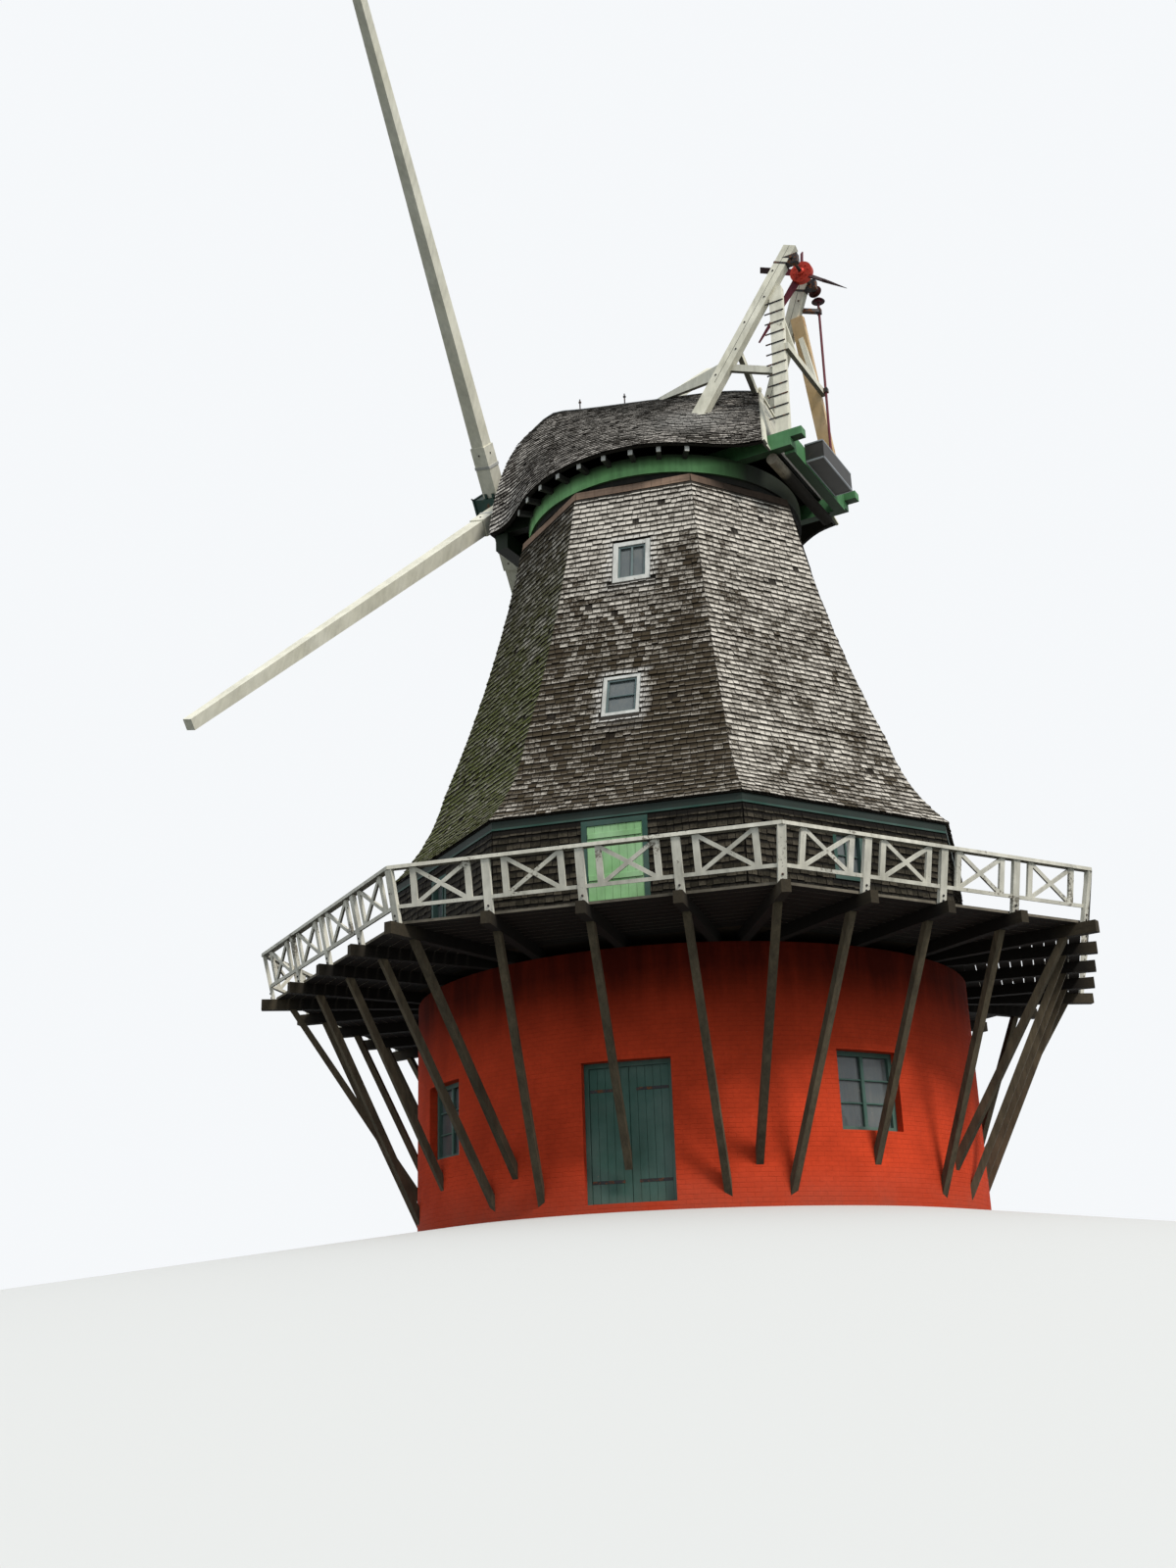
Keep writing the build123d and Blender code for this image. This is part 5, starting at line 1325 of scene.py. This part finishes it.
class WINDMILL_OT_ironwork(bpy.types.Operator):
    """Put straps, bolts and wedges on the sails, and the iron on the railing, the trestle and the fan"""
    bl_idname = "windmill.ironwork"
    bl_label = "Ironwork"

    def execute(self, context):
        self.sail_iron()
        self.rail_bolts()
        self.strut_iron()
        self.fan_iron()
        return {"FINISHED"}

    def sail_iron(self):
        """Straps and bolts on the stocks, their wedges, and bands with corner spikes round the poll end."""
        axis = on_cap(cos(SHAFT_RISE), 0, sin(SHAFT_RISE))
        hub = on_cap(0, 0, SHAFT_Z) + axis * HUB_OUT
        lines = [np.array(stock_direction(turn)) for turn in STOCK_TURNS.values()]
        straps, bolts, wedges = [], [], []
        for line, offset in zip(lines, (0.19, -0.19)):
            across, centre = np.cross(axis, line), hub + axis * offset
            for way in (-1, 1):
                straps.append(self.band(centre + line * way * 1.02, line * way, across, axis, 0.4, 0.38))
                for face, thick in ((across, 0.2), (-across, 0.2), (axis, 0.19), (-axis, 0.19)):
                    bolts.append(heads(centre + line * way * 1.32 + face * thick, face, 0.022, 0.02, 6))
                for side in (-0.1, 0.1):
                    for face, length in ((0.215, 0.17), (-0.215, 0.12)):
                        foot = centre + line * way * 0.29 + axis * side + across * face
                        wedges.append(bars(foot, foot + line * way * length, 0.07, 0.03, axis, 0.006))
        across, up = lines
        corners = np.array([across * x + up * y for x in (-1, 1) for y in (-1, 1)])
        for at in POLL_BANDS:
            wedges.append(self.band(hub + axis * at, axis, across, up, POLL_W, POLL_W, 0.05, 0.025))
            wedges.append(heads(hub + axis * at + corners * POLL_W / 2, corners, 0.035, 0.11, 4,
                                ((1, 0), (0.7, 0.6), (0.15, 1))))
        add_piece("stock_straps", merged(straps), "white_paint", "sails", "cream_paint")
        add_piece("stock_bolts", merged(bolts), "rusty_iron", "sails", "iron")
        add_piece("poll_bands", merged(wedges), "dark_green_iron", "sails", "dark_green_iron")

    def rail_bolts(self):
        """Two bolts through the foot of each leaning post of the railing, on its outer face."""
        foot = STAGE_CORNER_R * cos(pi / 8) + 0.043 + 0.045 * POST_LEAN
        up = np.array([-0.005, 0.075])
        posts = np.array([-1, 0, 1]) * STAGE_CORNER_R * sin(pi / 8) / 2
        bolts = []
        for angle in SIDES.values():
            for turned, along, ratio in ((angle, posts, 1.0), (angle + 22.5, np.zeros(1), 1 / cos(pi / 8))):
                lean = POST_LEAN * ratio
                places = on_side(turned, foot * ratio + 0.036 + up * lean, along[:, None], STAGE_Z + up)
                places = places.reshape(-1, 3)
                bolts.append(heads(places, side_axes(turned)[0] - np.array([0, 0, lean]), 0.02, 0.018, 6))
        add_piece("railing_bolts", merged(bolts), "rusty_iron", "tower", "iron")

    def strut_iron(self):
        """On both main struts of the trestle: the joint between their planks, bolts and a strap."""
        joints, bolts = [], []
        for side in (1, -1):
            foot, head = (on_cap(u, side * s, EAVE_Z + h) for u, s, h in (STRUT_FOOT, STRUT_HEAD))
            line, out = unit(head - foot), on_cap(0, side, 0)
            out = unit(out - line * (out @ line))
            deep = np.cross(line, out)
            length = np.linalg.norm(head - foot)
            at = np.arange(1.3, length - 0.3, 0.72)[:, None]
            shift = 0.07 * np.where(np.arange(len(at)) % 2, 1, -1)[:, None]
            for face in (out, -out):
                plank = face * STRUT_HALF
                joints.append(bars(foot + line * 1.1 + plank, head - line * 0.02 + plank, 0.009, 0.004, deep,
                                   0.001))
                bolts.append(heads(foot + line * at + plank + deep * shift, face, 0.022, 0.02, 6))
            bolts.append(self.band(foot + line * (length - 0.5), line, out, deep, 0.18, 0.3, 0.05, 0.008))
        add_piece("strut_joints", merged(joints), "dark_boards", "cap", "iron")
        add_piece("strut_bolts", merged(bolts), "rusty_iron", "cap", "iron")

    def fan_iron(self):
        """The fan's splintered blade end, and a ring of bolts and a boss on each face of its hub."""
        centre, out, line = on_cap(*FAN_PLACE), on_cap(0, 1, 0), np.array(blade_direction(BROKEN_BLADE))
        splinter = heads(centre + line * 0.6, line, 0.045, 0.66, 4, ((1, 0), (0.75, 0.35), (0.12, 1)))
        add_piece("fan_splinter", splinter, "fan_blade_paint", "fan", "red_paint")
        angle = np.arange(8)[:, None] * pi / 4
        ring = centre + 0.17 * (np.cos(angle) * on_cap(1, 0, 0) + np.sin(angle) * UP)
        parts = [heads(ring + face * HUB_FACE, face, 0.018, 0.018, 6) for face in (out, -out)]
        parts += [heads(centre + face * HUB_FACE, face, 0.09, 0.05, 16, ((1, 0), (0.95, 0.5), (0.6, 1)))
                  for face in (out, -out)]
        add_piece("fan_hub_bolts", merged(parts), "red_iron", "fan", "red_iron")

    def band(self, middle, line, across, axis, wide, thick, high=0.07, deep=0.012):
        """Four flat bars round a timber, at right angles to its line."""
        parts = []
        for x, y in ((1, 0), (-1, 0), (0, 1), (0, -1)):
            out = across * x + axis * y
            half = np.cross(line, out) * ((wide if y else thick) / 2 + deep)
            face = middle + out * ((wide if x else thick) / 2 + deep / 2)
            parts.append(bars(face - half, face + half, high, deep, line, 0.002))
        return merged(parts)


# Stage

class WINDMILL_OT_stage(bpy.types.Operator):
    """Make the pale ground, the light and the camera"""
    bl_idname = "windmill.stage"
    bl_label = "Ground, light and camera"

    def execute(self, context):
        context.scene.view_settings.view_transform = "Standard"
        self.ground(context)
        self.sky(context)
        self.sun(context)
        self.camera(context)
        return {"FINISHED"}

    def ground(self, context):
        """Rings of points round the axis: level to the wall's foot, and then falling evenly with distance."""
        radius = np.concatenate([np.linspace(0, 5.5, 6), np.geomspace(6, 400, 40)])
        angle = np.linspace(0, 2 * pi, 97)[:-1]
        r, a = np.meshgrid(radius[1:], angle, indexing="ij")
        z = -0.13 * np.maximum(r - 5.5, 0)
        points = np.concatenate([[(0, 0, 0)], np.stack([r * np.cos(a), r * np.sin(a), z], -1).reshape(-1, 3)])
        index = 1 + np.arange(r.size).reshape(r.shape)
        after = np.roll(index, -1, axis=1)
        quads = np.stack([index[:-1], index[1:], after[1:], after[:-1]], -1).reshape(-1, 4)
        fan = np.stack([np.zeros(len(angle), int), index[0], after[0]], -1)
        mesh = bpy.data.meshes.new("ground")
        mesh.from_pydata(points.tolist(), [], quads.tolist() + fan.tolist())
        mesh.polygons.foreach_set("use_smooth", np.ones(len(mesh.polygons), bool))
        ground = bpy.data.objects.new("ground", mesh)
        context.scene.collection.objects.link(ground)
        made = Finish("ground", 0.1)
        made.put(self.seen(made.tree).between((0.07, 0.075, 0.06), (0.6, 0.6, 0.585)), 0.95)
        mesh.materials.append(made.material)

    def seen(self, tree):
        """1 for rays from the camera, off gloss and through glass."""
        path = node(tree, "ShaderNodeLightPath")
        rays = path["Is Camera Ray"] + path["Is Glossy Ray"]
        return rays.math("ADD", path["Is Transmission Ray"], clamp=True)

    def sky(self, context):
        """The even light, and white where a ray sees the sky itself."""
        world = context.scene.world = bpy.data.worlds.new("sky")
        world.use_nodes = True
        world.node_tree.nodes.clear()
        seen = self.seen(world.node_tree)
        background = node(world.node_tree, "ShaderNodeBackground", {
            "Color": seen.between((0.86, 0.93, 1.0), (0.92, 0.94, 0.96)),
            "Strength": seen.ranged(0.0, 1.0, context.scene.windmill_lights.sky, 1.0)})
        node(world.node_tree, "ShaderNodeOutputWorld", {0: background[0]})

    def sun(self, context):
        """The main lamp, high up on the right of the camera."""
        sun = bpy.data.lights.new("sun", "SUN")
        sun.energy = context.scene.windmill_lights.sun
        sun.color = (1.0, 0.965, 0.91)
        sun.angle = radians(12)
        lamp = bpy.data.objects.new("sun", sun)
        context.scene.collection.objects.link(lamp)
        toward = Vector((0.8, -0.6, 0)) * cos(radians(46)) + Vector((0, 0, sin(radians(46))))
        lamp.rotation_euler = toward.to_track_quat("Z", "Y").to_euler()

    def camera(self, context):
        """Placed and turned as the photograph was taken: yaw, then pitch, then roll about the view."""
        yaw, pitch, roll = radians(105.4557), radians(19.641), radians(-1.9043)
        ahead = Vector((cos(pitch) * cos(yaw), cos(pitch) * sin(yaw), sin(pitch)))
        right = ahead.cross(Vector(UP)).normalized()
        up = right.cross(ahead)
        turned_right = right * cos(roll) + up * sin(roll)
        turned_up = up * cos(roll) - right * sin(roll)
        data = bpy.data.cameras.new("camera")
        data.sensor_fit = "VERTICAL"
        data.sensor_height = 36
        data.lens = 36.08
        data.clip_end = 1000
        camera = bpy.data.objects.new("camera", data)
        turned = Matrix((turned_right, turned_up, -ahead)).transposed().to_4x4()
        camera.matrix_world = Matrix.Translation((6.3532, -29.9414, -1.9331)) @ turned
        context.scene.collection.objects.link(camera)
        context.scene.camera = camera


class WINDMILL_PT_panel(bpy.types.Panel):
    """The windmill's settings and steps"""
    bl_label = "Windmill"
    bl_space_type = "VIEW_3D"
    bl_region_type = "UI"
    bl_category = "Windmill"

    def draw(self, context):
        for key in SETTINGS:
            group = getattr(context.scene, key)
            box = self.layout.box()
            for setting in group.__annotations__:
                box.prop(group, setting)
        for step in STEPS:
            self.layout.operator(step.bl_idname)


SETTINGS = {"windmill_shingles": ShingleSettings, "windmill_colours": ColourSettings,
            "windmill_lights": LightSettings}
STEPS = (WINDMILL_OT_finishes, WINDMILL_OT_smock_shingles, WINDMILL_OT_wall_shingles,
         WINDMILL_OT_roof_shingles, WINDMILL_OT_joinery, WINDMILL_OT_doors, WINDMILL_OT_cap_trim,
         WINDMILL_OT_ironwork, WINDMILL_OT_stage)


def register():
    for made in (*SETTINGS.values(), *STEPS, WINDMILL_PT_panel):
        bpy.utils.register_class(made)
    for key, group in SETTINGS.items():
        setattr(bpy.types.Scene, key, PointerProperty(type=group))


def unregister():
    for key in SETTINGS:
        delattr(bpy.types.Scene, key)
    for made in reversed((*SETTINGS.values(), *STEPS, WINDMILL_PT_panel)):
        bpy.utils.unregister_class(made)


def main():
    register()
    for step in STEPS:
        group, name = step.bl_idname.split(".")
        getattr(getattr(bpy.ops, group), name)()


if __name__ == "__main__":
    main()
